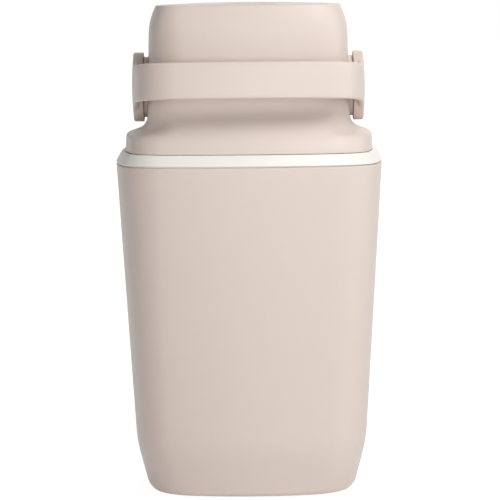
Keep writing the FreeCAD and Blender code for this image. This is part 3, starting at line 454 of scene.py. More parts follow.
# %% [markdown]
# ## Collar
# The white collar is a ring with a bevelled face that plugs into the tub's mouth. A groove in its top
# takes the seal, and a low fence inside holds the bag's edge. A bevelled block with a hole would need
# many cuts, so the section is drawn once, with every outer edge rounded a little to catch the light,
# and each of its points becomes one ring of the skin.

# %% The collar ring
COLLAR_TOP = 301.7
SEAM = 0.9
SEAM_DEPTH = 2.6
EDGE = 0.5
UNDER_EDGE = 0.3
LIP_HEIGHT = 1.1
BEVEL_IN = 5
HOOD_WALL = 2.6
SKIRT_INSET = 8.2
SKIRT_HALF = MOUTH_HALF - SKIRT_INSET
GROOVE_MID = SKIRT_HALF - HOOD_WALL / 2
GROOVE_HALF = 1.1
GROOVE_DEPTH = 1.8
GROOVE_EDGE = 0.2
FENCE_FACE = MOUTH_HALF - 18.8
FENCE_WALL = 2
FENCE_TOP = COLLAR_TOP + 6
DECK_FOOT = COLLAR_TOP - 3
PLUG_GAP = 0.5
PLUG_OUT = MOUTH_HALF - TUB_WALL - PLUG_GAP
PLUG_IN = PLUG_OUT - 3
PLUG_DEPTH = 14.5
PLUG_FOOT = TUB_TOP - PLUG_DEPTH
BRACE_IN = 2.5
BRACE_DOWN = 3.5
section = rounded_path(
    (MOUTH_HALF - SEAM_DEPTH, TUB_TOP + SEAM),
    (MOUTH_HALF, TUB_TOP + SEAM, UNDER_EDGE),
    (MOUTH_HALF, TUB_TOP + SEAM + LIP_HEIGHT, EDGE),
    (MOUTH_HALF - BEVEL_IN, COLLAR_TOP, EDGE),
    (GROOVE_MID + GROOVE_HALF, COLLAR_TOP, GROOVE_EDGE),
    (GROOVE_MID + GROOVE_HALF, COLLAR_TOP - GROOVE_DEPTH),
    (GROOVE_MID - GROOVE_HALF, COLLAR_TOP - GROOVE_DEPTH),
    (GROOVE_MID - GROOVE_HALF, COLLAR_TOP, GROOVE_EDGE),
    (FENCE_FACE, COLLAR_TOP, EDGE),
    (FENCE_FACE, FENCE_TOP, EDGE),
    (FENCE_FACE - FENCE_WALL, FENCE_TOP, EDGE),
    (FENCE_FACE - FENCE_WALL, DECK_FOOT, EDGE),
    (PLUG_IN - BRACE_IN, DECK_FOOT, EDGE),
    (PLUG_IN, DECK_FOOT - BRACE_DOWN, EDGE),
    (PLUG_IN, PLUG_FOOT, EDGE),
    (PLUG_OUT - PLUG_DEPTH * math.tan(TUB_DRAFT), PLUG_FOOT, EDGE),
    (PLUG_OUT, TUB_TOP),
    (MOUTH_HALF - SEAM_DEPTH, TUB_TOP),
    (MOUTH_HALF - SEAM_DEPTH, TUB_TOP + SEAM),
)


def mouth_outline(distance):
    inset = MOUTH_HALF - distance
    return rounded_square(distance, distance, MOUTH_BOW - inset, MOUTH_CORNER - inset)


collar_rings = [at_height(mouth_outline(half), height) for half, height in section]
collar = skin("collar_ring", collar_rings, capped=False)

# %% [markdown]
# ## Small solids
# Knuckles, lugs and bosses start as boxes and cylinders with eased edges, and so do the cuts. A Mirror
# modifier makes the other side and a Boolean joins or cuts, each applied at once, so that every piece
# ends as one plain mesh.

# %% Boxes, rods, mirrors and cuts


def activate(piece):
    deselect()
    piece.select_set(True)
    bpy.context.view_layer.objects.active = piece


def apply_modifier(piece, kind, **settings):
    activate(piece)
    bpy.ops.object.modifier_add(type=kind)
    modifier = piece.modifiers[-1]
    for setting, value in settings.items():
        setattr(modifier, setting, value)
    bpy.ops.object.modifier_apply(modifier=modifier.name)


def ease(piece, width, angle=40):
    """Round every edge that is sharper than the angle."""
    apply_modifier(
        piece, "BEVEL", width=width * MM, segments=3, limit_method="ANGLE", angle_limit=math.radians(angle)
    )


def block(name, low, high, easing=0.5):
    """A box between two corners, with its edges eased."""
    deselect()
    middle = [(a + b) / 2 * MM for a, b in zip(low, high)]
    size = [(b - a) * MM for a, b in zip(low, high)]
    bpy.ops.mesh.primitive_cube_add(size=1, location=middle, scale=size)
    piece = bpy.context.object
    piece.name = name
    bpy.ops.object.transform_apply(location=True, rotation=True, scale=True)
    if easing:
        ease(piece, easing)
    return piece


TURNS = {"x": (0, math.pi / 2, 0), "z": (0, 0, 0)}


def rod(name, axis, middle, radius, length, easing=0.4, steps=48):
    """A cylinder along an axis, with its edges eased."""
    deselect()
    bpy.ops.mesh.primitive_cylinder_add(
        vertices=steps, radius=radius * MM, depth=length * MM,
        location=Vector(middle) * MM, rotation=TURNS[axis],
    )
    piece = bpy.context.object
    piece.name = name
    bpy.ops.object.transform_apply(location=True, rotation=True, scale=True)
    if easing:
        ease(piece, easing)
    return piece


def both_sides(piece):
    apply_modifier(piece, "MIRROR", use_mirror_merge=False)
    return piece


def combine(piece, tool, operation="UNION"):
    """Join a tool to the piece, or cut it away, and take the tool off the scene."""
    apply_modifier(piece, "BOOLEAN", operation=operation, object=tool, solver="EXACT")
    bpy.data.objects.remove(tool)
    return piece


print("rods lie along", " or ".join(TURNS))

# %% [markdown]
# Behind the pail the collar carries two hinge knuckles on short webs, and inside it two lugs hold the
# lock studs. They are cylinders and blocks with eased edges, mirrored to the other side and joined
# to the ring by a union, so that the collar stays one closed skin. A web is a hair smaller than its
# knuckle: a union of faces that lie in one plane can leave scraps.

# %% Knuckles, webs and lugs
HINGE_Y = 115.0
HINGE_Z = 305.9
KNUCKLE = 3.6
KNUCKLE_IN = 14
KNUCKLE_OUT = 26
HINGE_BORE = 2.05
WEB_SHORTER = 0.2
WEB_THINNER = 0.1
WEB_FOOT = TUB_TOP + SEAM + 1.3
LUG_IN = 83
LUG_HALF = 8
LUG_HEIGHT = 6
BELOW_TOP = 0.1
KNUCKLE_MID = (KNUCKLE_IN + KNUCKLE_OUT) / 2
KNUCKLE_LENGTH = KNUCKLE_OUT - KNUCKLE_IN
web_low = (KNUCKLE_IN + WEB_SHORTER, HINGE_Y - KNUCKLE + WEB_THINNER, WEB_FOOT)
web_high = (KNUCKLE_OUT - WEB_SHORTER, HINGE_Y + KNUCKLE - WEB_THINNER, HINGE_Z)
knuckle_middle = (KNUCKLE_MID, HINGE_Y, HINGE_Z)
knuckle = rod("knuckle", "x", knuckle_middle, KNUCKLE, KNUCKLE_LENGTH)
combine(knuckle, block("web", web_low, web_high, easing=0.3))
hinge_hole = rod("hinge_hole", "x", knuckle_middle, HINGE_BORE, 2 * KNUCKLE_LENGTH, easing=0)
combine(knuckle, hinge_hole, "DIFFERENCE")
combine(collar, both_sides(knuckle))
lug_low = (LUG_IN, -LUG_HALF, COLLAR_TOP - LUG_HEIGHT)
lug_high = (FENCE_FACE - FENCE_WALL / 2, LUG_HALF, COLLAR_TOP - BELOW_TOP)
combine(collar, both_sides(block("lug", lug_low, lug_high)))
closed(collar)
finish_piece(collar, "collar", "base", "white_plastic")

# %% [markdown]
# ## Hood
# The hood is one moulding. Its sides have a clear shoulder above a short skirt, while its front and
# back rise in one long ramp, so two profiles are read at every height: one for the half width and
# one for the half depth. At the top the skin turns over the rim, drops into the recess for the lid,
# crosses the ledge to the chute's hole and goes down the inside again. A subdivided box would be
# quicker to shape, but its shoulder could not be given by sizes.

# %% The hood's profiles
HOOD_FOOT = 302.0
HOOD_TOP = 430.3
NECK_X = 90.8
NECK_Y = 87.5
NECK_CORNER = 34
NECK_LEAN = 2.3
SKIRT_CORNER = MOUTH_CORNER - SKIRT_INSET
HOOD_BOW = MOUTH_BOW - SKIRT_INSET
SHOULDER_LEAN = 1
SHOULDER_Z = HOOD_FOOT + 14.7
SHOULDER_EDGE = 3
COVE_Z = HOOD_FOOT + 21.5
COVE_ROUND = 13
RAMP_LEAN = 3.5
RAMP_FOOT = HOOD_FOOT + 9.7
RAMP_TOP = HOOD_FOOT + 35
RAMP_FOOT_ROUND = 30
RAMP_TOP_ROUND = 40
TURN_IN_Z = HOOD_TOP - 14
TURN_IN_ROUND = 60
TOP_INSET = 8.7
side_path = rounded_path(
    (SKIRT_HALF, HOOD_FOOT),
    (SKIRT_HALF - SHOULDER_LEAN, SHOULDER_Z, SHOULDER_EDGE),
    (NECK_X, COVE_Z, COVE_ROUND),
    (NECK_X - NECK_LEAN, TURN_IN_Z, TURN_IN_ROUND),
    (NECK_X - TOP_INSET, HOOD_TOP),
)
front_path = rounded_path(
    (SKIRT_HALF, HOOD_FOOT),
    (SKIRT_HALF - RAMP_LEAN, RAMP_FOOT, RAMP_FOOT_ROUND),
    (NECK_Y, RAMP_TOP, RAMP_TOP_ROUND),
    (NECK_Y - NECK_LEAN, TURN_IN_Z, TURN_IN_ROUND),
    (NECK_Y - TOP_INSET, HOOD_TOP),
)
print("points in the hood's profiles:", len(side_path), "and", len(front_path))

# %% [markdown]
# Three outlines are needed: the hood at any height, its top edge, and the chute's mouth, which is a
# plain box with small corners. Then the heights of both profiles are merged into one list of levels,
# so that no bend of either is missed.

# %% The hood's outlines and levels


def hood_outline(height, inset):
    """The hood's plan at a height, moved in."""
    half_x = half_at(side_path, height)
    half_y = half_at(front_path, height)
    share = (half_x - NECK_X) / (SKIRT_HALF - NECK_X)
    if share > 0:
        corner = NECK_CORNER + share * (SKIRT_CORNER - NECK_CORNER)
    else:
        corner = NECK_CORNER - NECK_X + half_x
    return rounded_square(half_x - inset, half_y - inset, HOOD_BOW - inset, corner - inset)


def top_outline(inset, side_steps=SIDE_STEPS):
    """The hood's top edge, moved in."""
    return rounded_square(
        NECK_X - TOP_INSET - inset, NECK_Y - TOP_INSET - inset,
        HOOD_BOW - inset, NECK_CORNER - TOP_INSET - inset, side_steps,
    )


CHUTE_HALF = 66.8
CHUTE_FRONT = -60.5
CHUTE_BACK = 46.9
CHUTE_CORNER = 1.5


def chute_outline(grow):
    """The chute's mouth, grown on all sides, with as many points as every other outline."""
    half_x = CHUTE_HALF + grow
    front = CHUTE_FRONT - grow
    back = CHUTE_BACK + grow
    corner = CHUTE_CORNER + grow
    half_y = (back - front) / 2
    turn_x = half_x - corner
    turn_y = half_y - corner
    quarter = []
    for step in range(SIDE_STEPS):
        quarter.append((half_x, turn_y * (step + 0.5) / SIDE_STEPS))
    for step in range(CORNER_STEPS):
        angle = math.pi / 2 * (step + 0.5) / CORNER_STEPS
        quarter.append((turn_x + corner * math.cos(angle), turn_y + corner * math.sin(angle)))
    for step in range(SIDE_STEPS):
        quarter.append((turn_x * (1 - (step + 0.5) / SIDE_STEPS), half_y))
    shift = (back + front) / 2
    return [(x, y + shift) for x, y in whole(quarter)]


LEVEL_STEP = 6
CLOSEST = 0.4
levels = []
both_paths = with_steps(side_path, LEVEL_STEP) + with_steps(front_path, LEVEL_STEP)
for level in sorted(point.y for point in both_paths):
    if not levels or level - levels[-1] > CLOSEST:
        levels.append(level)
print("hood:", len(levels), "levels from", HOOD_FOOT, "to", HOOD_TOP)

# %% [markdown]
# The levels are now strung into rings, in the order in which a finger would trace the hood's section:
# round the foot's edge, up the outside, over the rim, down to the ledge, through the chute's hole and
# down the inside. The last ring is the first one again, which closes the skin.

# %% The hood's skin
SMALL_ROUND = 0.4
RIM_ROUNDING = 1.0
RIM_WIDTH = 3
LEDGE_TOP = HOOD_TOP - 10
LEDGE_FOOT = LEDGE_TOP - 3
LEDGE_HOLE = 2.5
TURN_STEPS = 5
quarter_turn = [math.pi / 2 * step / TURN_STEPS for step in range(TURN_STEPS + 1)]
hood_rings = []
for a in quarter_turn:
    outline = hood_outline(HOOD_FOOT, SMALL_ROUND * (1 - math.sin(a)))
    hood_rings.append(at_height(outline, HOOD_FOOT + SMALL_ROUND * (1 - math.cos(a))))
for level in levels:
    if HOOD_FOOT + CLOSEST < level < HOOD_TOP - RIM_ROUNDING - CLOSEST:
        hood_rings.append(at_height(hood_outline(level, 0), level))
for a in quarter_turn:
    height = HOOD_TOP - RIM_ROUNDING * (1 - math.sin(a))
    hood_rings.append(at_height(hood_outline(height, RIM_ROUNDING * (1 - math.cos(a))), height))
for a in quarter_turn:
    inset = RIM_WIDTH - SMALL_ROUND * (1 - math.sin(a))
    hood_rings.append(at_height(top_outline(inset), HOOD_TOP - SMALL_ROUND * (1 - math.cos(a))))
hood_rings.append(at_height(top_outline(RIM_WIDTH), LEDGE_TOP))
hood_rings.append(at_height(chute_outline(LEDGE_HOLE), LEDGE_TOP))
hood_rings.append(at_height(chute_outline(LEDGE_HOLE), LEDGE_FOOT))
inside = [level - HOOD_WALL for level in reversed(levels)]
inside = [level for level in inside if HOOD_FOOT + CLOSEST < level < LEDGE_FOOT - CLOSEST]
for level in [LEDGE_FOOT] + inside + [HOOD_FOOT]:
    hood_rings.append(at_height(hood_outline(level + HOOD_WALL, HOOD_WALL), level))
hood_rings.append(hood_rings[0])
hood = skin("hood_shell", hood_rings, capped=False)

# %% [markdown]
# A round boss on each side of the neck carries the handle's axle, and a knuckle at the back of the
# skirt takes the hinge pin. They are joined to the skin by unions. The knuckle is bored before that,
# while it is still a small solid of its own, so the cut can't reach the skirt.

# %% Bosses, hinge knuckle and bores
PIVOT_Z = 357.4
BOSS_FACE = 93.2
BOSS_BACK = 80.8
BOSS_RADIUS = 27
BUSH_BORE = 12.05
LEAF_HALF = 13.6
LEAF_REACH = 6
LEAF_HALF_HEIGHT = 2.7
THROUGH_BOSS = 30
THROUGH_KNUCKLE = 40
boss_middle = ((BOSS_FACE + BOSS_BACK) / 2, 0, PIVOT_Z)
boss = rod("boss", "x", boss_middle, BOSS_RADIUS, BOSS_FACE - BOSS_BACK, easing=0.6, steps=96)
combine(hood, both_sides(boss))
bush_bore = rod("bush_bore", "x", boss_middle, BUSH_BORE, THROUGH_BOSS, easing=0)
combine(hood, both_sides(bush_bore), "DIFFERENCE")
hinge_middle = (0, HINGE_Y, HINGE_Z)
hood_knuckle = rod("hood_knuckle", "x", hinge_middle, KNUCKLE, 2 * LEAF_HALF)
leaf_low = (-LEAF_HALF, HINGE_Y - LEAF_REACH, HINGE_Z - LEAF_HALF_HEIGHT)
leaf_high = (LEAF_HALF, HINGE_Y, HINGE_Z + LEAF_HALF_HEIGHT)
combine(hood_knuckle, block("leaf", leaf_low, leaf_high, easing=0.3))
hood_hinge_hole = rod("hood_hinge_hole", "x", hinge_middle, HINGE_BORE, THROUGH_KNUCKLE, easing=0)
combine(hood_knuckle, hood_hinge_hole, "DIFFERENCE")
combine(hood, hood_knuckle)
closed(hood)
finish_piece(hood, "hood", "hood", "blush_plastic")

# %% [markdown]
# ## Handle
# The handle is a flat band, bent round the neck's front, that widens into a round hub at each end.
# A curve with a bevel profile would give the band, but not its flared ends. So it starts as a strip
# of edges along its plan, is extruded upwards row by row, and gets its thickness from Solidify and
# its rounded edges from Bevel. Near the hubs its face is drawn in under their domes.

# %% The band's form
HUB_FACE = 93.5
HUB_RADIUS = 30.9
HUB_THICKNESS = 10.6
HUB_TIP = HUB_FACE + HUB_THICKNESS
DOME_RADIUS = 300
BAND_OUT = 103.9
BAND_BOW = 420
BAND_CORNER = 38
BAND_REACH = 115
BAND_THICKNESS = 5
BAND_HALF = 16
BAND_FLARE = 70
BAND_ROUND = 1.6
BAND_BACK = 6
BAND_STEPS = 30
BAND_ROWS = (-1, -0.7, -0.3, 0.3, 0.7, 1)
ROOT = HUB_RADIUS - BAND_ROUND
flare_y = -math.sqrt((ROOT + BAND_FLARE) ** 2 - (BAND_HALF + BAND_FLARE) ** 2)
meet_y = ROOT * flare_y / (ROOT + BAND_FLARE)


def smooth_step(value):
    value = min(1, max(0, value))
    return value * value * (3 - 2 * value)


def band_half(y):
    """Half the band's height: level at the front, flared where it runs into the hub."""
    if y < flare_y:
        return BAND_HALF
    if y < meet_y:
        return BAND_HALF + BAND_FLARE - math.sqrt(BAND_FLARE ** 2 - (y - flare_y) ** 2)
    return math.sqrt(ROOT ** 2 - y ** 2)


SINK = 0.12
MERGE_FROM = 50


def on_band(x, y, z):
    """A point of the band's face, drawn under the hub's dome where the two run into each other."""
    from_pivot = math.hypot(y, z)
    under_dome = min(abs(x), HUB_TIP - from_pivot ** 2 / (2 * DOME_RADIUS) - SINK)
    share = smooth_step((MERGE_FROM - from_pivot) / (MERGE_FROM - HUB_RADIUS))
    out = abs(x) + (under_dome - abs(x)) * share
    return Vector((math.copysign(out, x), y, z)) * MM


print("half height of the band:", BAND_HALF, "in front,", round(band_half(meet_y), 1), "at the hub")

# %% [markdown]
# A circle with as many vertices as the strip has points is slid onto its lowest row, the edge across
# the back is taken out, and the open chain is extruded through the other rows.

# %% The band's mesh
strip = [
    point for point in rounded_square(BAND_OUT, BAND_REACH, BAND_BOW, BAND_CORNER, BAND_STEPS)
    if point[1] < BAND_BACK
]
rows = [[on_band(x, y, share * band_half(y)) for x, y in strip] for share in BAND_ROWS]
deselect()
bpy.ops.mesh.primitive_circle_add(vertices=len(strip))
handle = bpy.context.object
handle.name = "handle_band"
bpy.ops.object.mode_set(mode="EDIT")
slide_ring(rows[0])
bpy.ops.mesh.select_all(action="DESELECT")
shape = bmesh.from_edit_mesh(handle.data)
for edge in shape.edges:
    edge.select_set(all(vert.co.y > 0 for vert in edge.verts) and edge.calc_length() > BAND_OUT * MM)
bmesh.update_edit_mesh(handle.data)
bpy.ops.mesh.delete(type="EDGE_FACE")
bpy.ops.mesh.select_all(action="SELECT")
for row in rows[1:]:
    bpy.ops.mesh.extrude_edges_indiv()
    slide_ring(row)
bpy.ops.mesh.select_all(action="SELECT")
bpy.ops.mesh.normals_make_consistent(inside=False)
bpy.ops.object.mode_set(mode="OBJECT")
apply_modifier(handle, "SOLIDIFY", thickness=BAND_THICKNESS * MM, offset=-1, use_even_offset=True)
ease(handle, BAND_ROUND, angle=60)
print("band:", [round(value / MM, 1) for value in handle.dimensions], "mm")

# %% [markdown]
# A hub is a thick disc with a slightly domed face, and an axle behind it with a square key that turns
# the lock hook. A bevelled cylinder would have a flat face, so half of the section is drawn point by
# point and spun round the axle. One hub is made, mirrored, and joined to the band.

# %% The hubs
HUB_EDGE = 1.8
BACK_EDGE = 0.5
AXLE = 9
AXLE_EDGE = 0.4
ARC_POINTS = 6
KEY_FACE = 79.0
KEY_END = 74.6
KEY_HALF = 6
KEY_ROOT = 1
dome_x = HUB_TIP - DOME_RADIUS
edge_z = HUB_RADIUS - HUB_EDGE
edge_x = dome_x + math.sqrt((DOME_RADIUS - HUB_EDGE) ** 2 - edge_z ** 2)
lean = math.atan2(edge_z, edge_x - dome_x)
half_section = [(KEY_FACE, 0), (KEY_FACE, AXLE - AXLE_EDGE), (KEY_FACE + AXLE_EDGE, AXLE), (HUB_FACE, AXLE)]
for back, out in ((0, BACK_EDGE), (0.3 * BACK_EDGE, 0.3 * BACK_EDGE), (BACK_EDGE, 0)):
    half_section.append((HUB_FACE + back, HUB_RADIUS - out))
for step in range(ARC_POINTS + 1):
    turn = math.pi / 2 + (lean - math.pi / 2) * step / ARC_POINTS
    half_section.append((edge_x + HUB_EDGE * math.cos(turn), edge_z + HUB_EDGE * math.sin(turn)))
for step in range(1, ARC_POINTS + 1):
    turn = lean * (1 - step / ARC_POINTS)
    half_section.append((dome_x + DOME_RADIUS * math.cos(turn), DOME_RADIUS * math.sin(turn)))


def spun(name, outline, steps, axis):
    """Half a section, drawn as (along, out) points by extruding one vertex, spun round an axis."""
    deselect()
    bpy.ops.mesh.primitive_plane_add(size=MM)
    piece = bpy.context.object
    piece.name = name
    edit_all()
    bpy.ops.mesh.merge(type="CENTER")
    if axis == "x":
        places = [Vector((along, 0, out)) * MM for along, out in outline]
        direction = (1, 0, 0)
    else:
        places = [Vector((out, 0, along)) * MM for along, out in outline]
        direction = (0, 0, 1)
    bpy.ops.transform.translate(value=places[0])
    for before, after in zip(places, places[1:]):
        bpy.ops.mesh.extrude_vertices_move(TRANSFORM_OT_translate={"value": after - before})
    bpy.ops.mesh.select_all(action="SELECT")
    bpy.ops.mesh.spin(steps=steps, angle=2 * math.pi, center=(0, 0, 0), axis=direction)
    return closed(piece)


hub = spun("hub", half_section, steps=96, axis="x")
key_low = (KEY_END, -KEY_HALF, -KEY_HALF)
key_high = (KEY_FACE + KEY_ROOT, KEY_HALF, KEY_HALF)
combine(hub, block("key", key_low, key_high, easing=0.3))
combine(handle, both_sides(hub))
closed(handle)

# %% [markdown]
# At rest the band's front sits a little higher than the pivots. The whole handle was modelled level
# about its pivots, so it is turned about them and lifted into place.

# %% The handle's resting tilt
HANDLE_TILT = math.radians(4.4)
activate(handle)
edit_all()
bpy.ops.transform.rotate(value=HANDLE_TILT, orient_axis="X", center_override=(0, 0, 0))
bpy.ops.transform.translate(value=(0, 0, PIVOT_Z * MM))
bpy.ops.object.mode_set(mode="OBJECT")
finish_piece(handle, "handle", "handle", "blush_plastic")

# %% [markdown]
# ## Lid
# The lid is a slightly crowned plate that lies in the hood's recess with a narrow gap round it, with
# a shallow dish for a finger near its front edge. It is a skin of rings that close towards the
# middle, so its vertices can be lifted onto the crown and sunk into the dish; a flat grid would leave
# steps along the rounded edge. Behind it a fixed bridge carries the hinge barrels, and both are cut
# from the same crowned plate by bisecting it.

# %% The crowned plate
LID_INSET = 3.6
LID_FOOT = 425.8
CROWN = 2.2
CROWN_RADIUS = (NECK_X - TOP_INSET) ** 2 / (2 * CROWN)
LID_ROUND = 0.8
PLATE_RINGS = 60
PLATE_SIDE_STEPS = 36
DISH_Y = -58.8
DISH_HALF = 15.8
DISH_RADIUS = 9.5
DISH_SLOPE = 7.5
DISH_DEPTH = 2.8
CUT_LIMIT = 0.00001 * MM


def crown_at(x, y):
    return HOOD_TOP + CROWN - (x * x + y * y) / (2 * CROWN_RADIUS)


def dish_at(x, y):
    away = math.hypot(max(0, abs(x) - DISH_HALF), y - DISH_Y)
    return DISH_DEPTH * smooth_step((DISH_RADIUS - away) / DISH_SLOPE)


def plate_outline(inset):
    return top_outline(inset + LID_INSET, PLATE_SIDE_STEPS)


def crowned_plate(name, foot, dished):
    """A plate from its foot up to the crown, with the finger's dish or without."""
    rings = [at_height(plate_outline(UNDER_EDGE), foot), at_height(plate_outline(0), foot + UNDER_EDGE)]
    for turn in quarter_turn:
        inset = LID_ROUND * (1 - math.cos(turn))
        drop = LID_ROUND * (1 - math.sin(turn))
        rings.append([Vector((x, y, crown_at(x, y) - drop)) * MM for x, y in plate_outline(inset)])
    edge = plate_outline(LID_ROUND)
    for step in range(1, PLATE_RINGS):
        share = 1 - step / PLATE_RINGS
        ring = [(x * share, y * share) for x, y in edge]
        rings.append([
            Vector((x, y, crown_at(x, y) - (dish_at(x, y) if dished else 0))) * MM for x, y in ring
        ])
    return skin(name, rings, capped=True)


def trim(piece, place, normal):
    """Cut away what lies beyond a plane, and close the cut."""
    activate(piece)
    edit_all()
    bpy.ops.mesh.bisect(
        plane_co=Vector(place) * MM, plane_no=normal, use_fill=True, clear_outer=True, threshold=CUT_LIMIT
    )
    bpy.ops.object.mode_set(mode="OBJECT")


print("crown at the middle", round(crown_at(0, 0), 1), "and over the dish", round(crown_at(0, DISH_Y), 1))

# %% [markdown]
# The lid's own plate ends just short of the hinge. A tongue in its middle reaches back to a barrel
# round the hinge pin. They are a block and a rod that are joined to the plate, and the pin's bore is
# cut through last, so that it runs through all three.

# %% Lid, tongue and barrel
LID_HINGE_Y = 57.9
LID_HINGE_Z = 426.1
LID_BARREL = 4.5
LID_BORE = 1.55
BORE_LENGTH = 150
BARREL_ROOM = 5.7
TONGUE = 30
TONGUE_ROOT = 2
TONGUE_DROP = 0.2
lid_end = LID_HINGE_Y - BARREL_ROOM
lid_hinge = (0, LID_HINGE_Y, LID_HINGE_Z)


def bore_hinge(piece):
    bore = rod("lid_bore", "x", lid_hinge, LID_BORE, BORE_LENGTH, easing=0, steps=32)
    combine(piece, bore, "DIFFERENCE")


lid = crowned_plate("lid_plate", LID_FOOT, dished=True)
trim(lid, (0, lid_end, 0), (0, 1, 0))
tongue_low = (-TONGUE, lid_end - TONGUE_ROOT, LID_FOOT)
tongue_high = (TONGUE, LID_HINGE_Y, LID_HINGE_Z + LID_BARREL - TONGUE_DROP)
combine(lid, block("tongue", tongue_low, tongue_high, easing=0.3))
combine(lid, rod("lid_barrel", "x", lid_hinge, LID_BARREL, 2 * TONGUE))
bore_hinge(lid)
closed(lid)
finish_piece(lid, "lid", "lid", "blush_plastic")

# %% [markdown]
# The bridge is the fixed strip between the lid's hinge and the hood's back rim. It is the rear part
# of the same plate, so its crown runs on from the lid's. A notch in the middle leaves room for the
# lid's barrel, the cheeks beside it are lowered, and two barrels of its own carry the pin's ends.

# %% Bridge behind the lid
BRIDGE_IN = 30.4
BRIDGE_OUT = 68
CHEEK_DROP = 0.6
PAST = 1
ABOVE = HOOD_TOP + 5
notch_back = LID_HINGE_Y + BARREL_ROOM
bridge = crowned_plate("lid_bridge_plate", LEDGE_TOP, dished=False)
trim(bridge, (0, LID_HINGE_Y, 0), (0, -1, 0))
notch_low = (-BRIDGE_IN, LID_HINGE_Y - PAST, LEDGE_TOP - PAST)
notch = block("notch", notch_low, (BRIDGE_IN, notch_back, ABOVE), easing=0)
combine(bridge, notch, "DIFFERENCE")
cheek_low = (-NECK_X, LID_HINGE_Y - PAST, LID_HINGE_Z + LID_BARREL - CHEEK_DROP)
above_cheeks = block("above_cheeks", cheek_low, (NECK_X, notch_back, ABOVE), easing=0)
combine(bridge, above_cheeks, "DIFFERENCE")
barrel_middle = ((BRIDGE_IN + BRIDGE_OUT) / 2, LID_HINGE_Y, LID_HINGE_Z)
barrel = rod("bridge_barrel", "x", barrel_middle, LID_BARREL, BRIDGE_OUT - BRIDGE_IN)
combine(bridge, both_sides(barrel))
bore_hinge(bridge)
closed(bridge)
finish_piece(bridge, "lid_bridge", "hood", "blush_plastic")

# %% [markdown]
# ## Springs of the odour flaps
# A torsion spring on each flap's pin pushes the flap up again. A curve along a helix would do, but its
# points would have to be worked out. Instead one round section of wire is swept round the pin by a
# Screw modifier, and a straight leg leads from the coil to the chute's wall. The other side's spring
# is a mirrored copy with a mesh of its own.

# %% Torsion springs
FLAP_PIN_X = 62.8
FLAP_PIN_Z = 395.3
COIL_START = -59.2
COIL_RADIUS = 3.0
COIL_TURNS = 7
COIL_PITCH = 1.07
COIL_STEPS = 28
WIRE = 0.48
WIRE_SIDES = 14
LEG_TOP = 404.3
LEG_THINNER = 0.02
LEG_SINK = 0.1


def move_mesh(piece, shift):
    """Move the mesh inside its object, which stays at the origin."""
    activate(piece)
    edit_all()
    bpy.ops.transform.translate(value=Vector(shift) * MM)
    bpy.ops.object.mode_set(mode="OBJECT")


def mirrored_copy(piece, name):
    """A copy with a mesh of its own on the other side of the middle plane."""
    activate(piece)
    bpy.ops.object.duplicate()
    copy = bpy.context.object
    copy.name = name
    edit_all()
    bpy.ops.transform.resize(value=(-1, 1, 1), center_override=(0, 0, 0))
    return closed(copy)


deselect()
bpy.ops.mesh.primitive_circle_add(vertices=WIRE_SIDES, radius=WIRE * MM, location=(COIL_RADIUS * MM, 0, 0))
spring = bpy.context.object
spring.name = "right_spring_coil"
bpy.ops.object.transform_apply(location=True, rotation=True, scale=True)
apply_modifier(
    spring, "SCREW", axis="Y", screw_offset=COIL_PITCH * MM, iterations=COIL_TURNS,
    steps=COIL_STEPS, render_steps=COIL_STEPS,
)
edit_all()
bpy.ops.mesh.remove_doubles(threshold=WELD)
bpy.ops.mesh.fill_holes(sides=WIRE_SIDES)
bpy.ops.object.mode_set(mode="OBJECT")
move_mesh(spring, (FLAP_PIN_X, COIL_START, FLAP_PIN_Z))
leg_middle = (FLAP_PIN_X + COIL_RADIUS, COIL_START, (FLAP_PIN_Z + LEG_TOP) / 2 - LEG_SINK)
leg = rod("leg", "z", leg_middle, WIRE - LEG_THINNER, LEG_TOP - FLAP_PIN_Z, easing=0.1, steps=16)
combine(spring, leg)
closed(spring)
finish_piece(mirrored_copy(spring, "left_spring_coil"), "left_flap_spring", "hood", "steel")
finish_piece(spring, "right_flap_spring", "hood", "steel")

# %% [markdown]
# ## Screws
# Four screws hold the chute's flange. A screw is spun from half of its section, with a domed head, and
# a cross is cut into the head by two thin blocks. It is modelled once on the Z axis, and each copy gets
# a mesh of its own. The thread is hidden in the plastic, so there is none.

# %% Chute screws
FLANGE_TOP = 422.8
SCREW_ROOT = 416.3
SCREW_TIP = 424.6
SCREW_SHANK = 1.6
SCREW_HEAD = 2.6
SCREW_X = 74.6
SCREW_Y = (-36.8, 23.2)
SHANK_EDGE = 0.3
HEAD_EDGE = 0.15
HEAD_RIM = 0.3
CROSS_ARM = 1.6
CROSS_HALF = 0.35
CROSS_FOOT = 423.7
CROSS_END = 426


def screw_section(root, seat, tip, shank, head):
    """Half section from the shank's end over the seat of the head to the middle of its dome."""
    way = 1 if tip > root else -1
    outline = [(root, 0), (root, shank - SHANK_EDGE), (root + SHANK_EDGE * way, shank)]
    outline += [(seat, shank), (seat, head - HEAD_EDGE)]
    rim = seat + (tip - seat) * HEAD_RIM
    for step in range(ARC_POINTS + 1):
        turn = math.pi / 2 * step / ARC_POINTS
        outline.append((rim + (tip - rim) * math.sin(turn), head * math.cos(turn)))
    return outline


def cut_cross(screw, axis, arm, half_width, first, last):
    """Cut a cross into the head, between two places along the screw's axis."""
    for a, b in ((arm, half_width), (half_width, arm)):
        if axis == "x":
            cross = block("cross", (first, -b, -a), (last, b, a), easing=0)
        else:
            cross = block("cross", (-a, -b, first), (a, b, last), easing=0)
        combine(screw, cross, "DIFFERENCE")


def join(pieces):
    deselect()
    for piece in pieces:
        piece.select_set(True)
    bpy.context.view_layer.objects.active = pieces[0]
    bpy.ops.object.join()
    return closed(bpy.context.object)


def place_copy(piece, shift):
    activate(piece)
    bpy.ops.object.duplicate()
    copy = bpy.context.object
    move_mesh(copy, shift)
    return copy


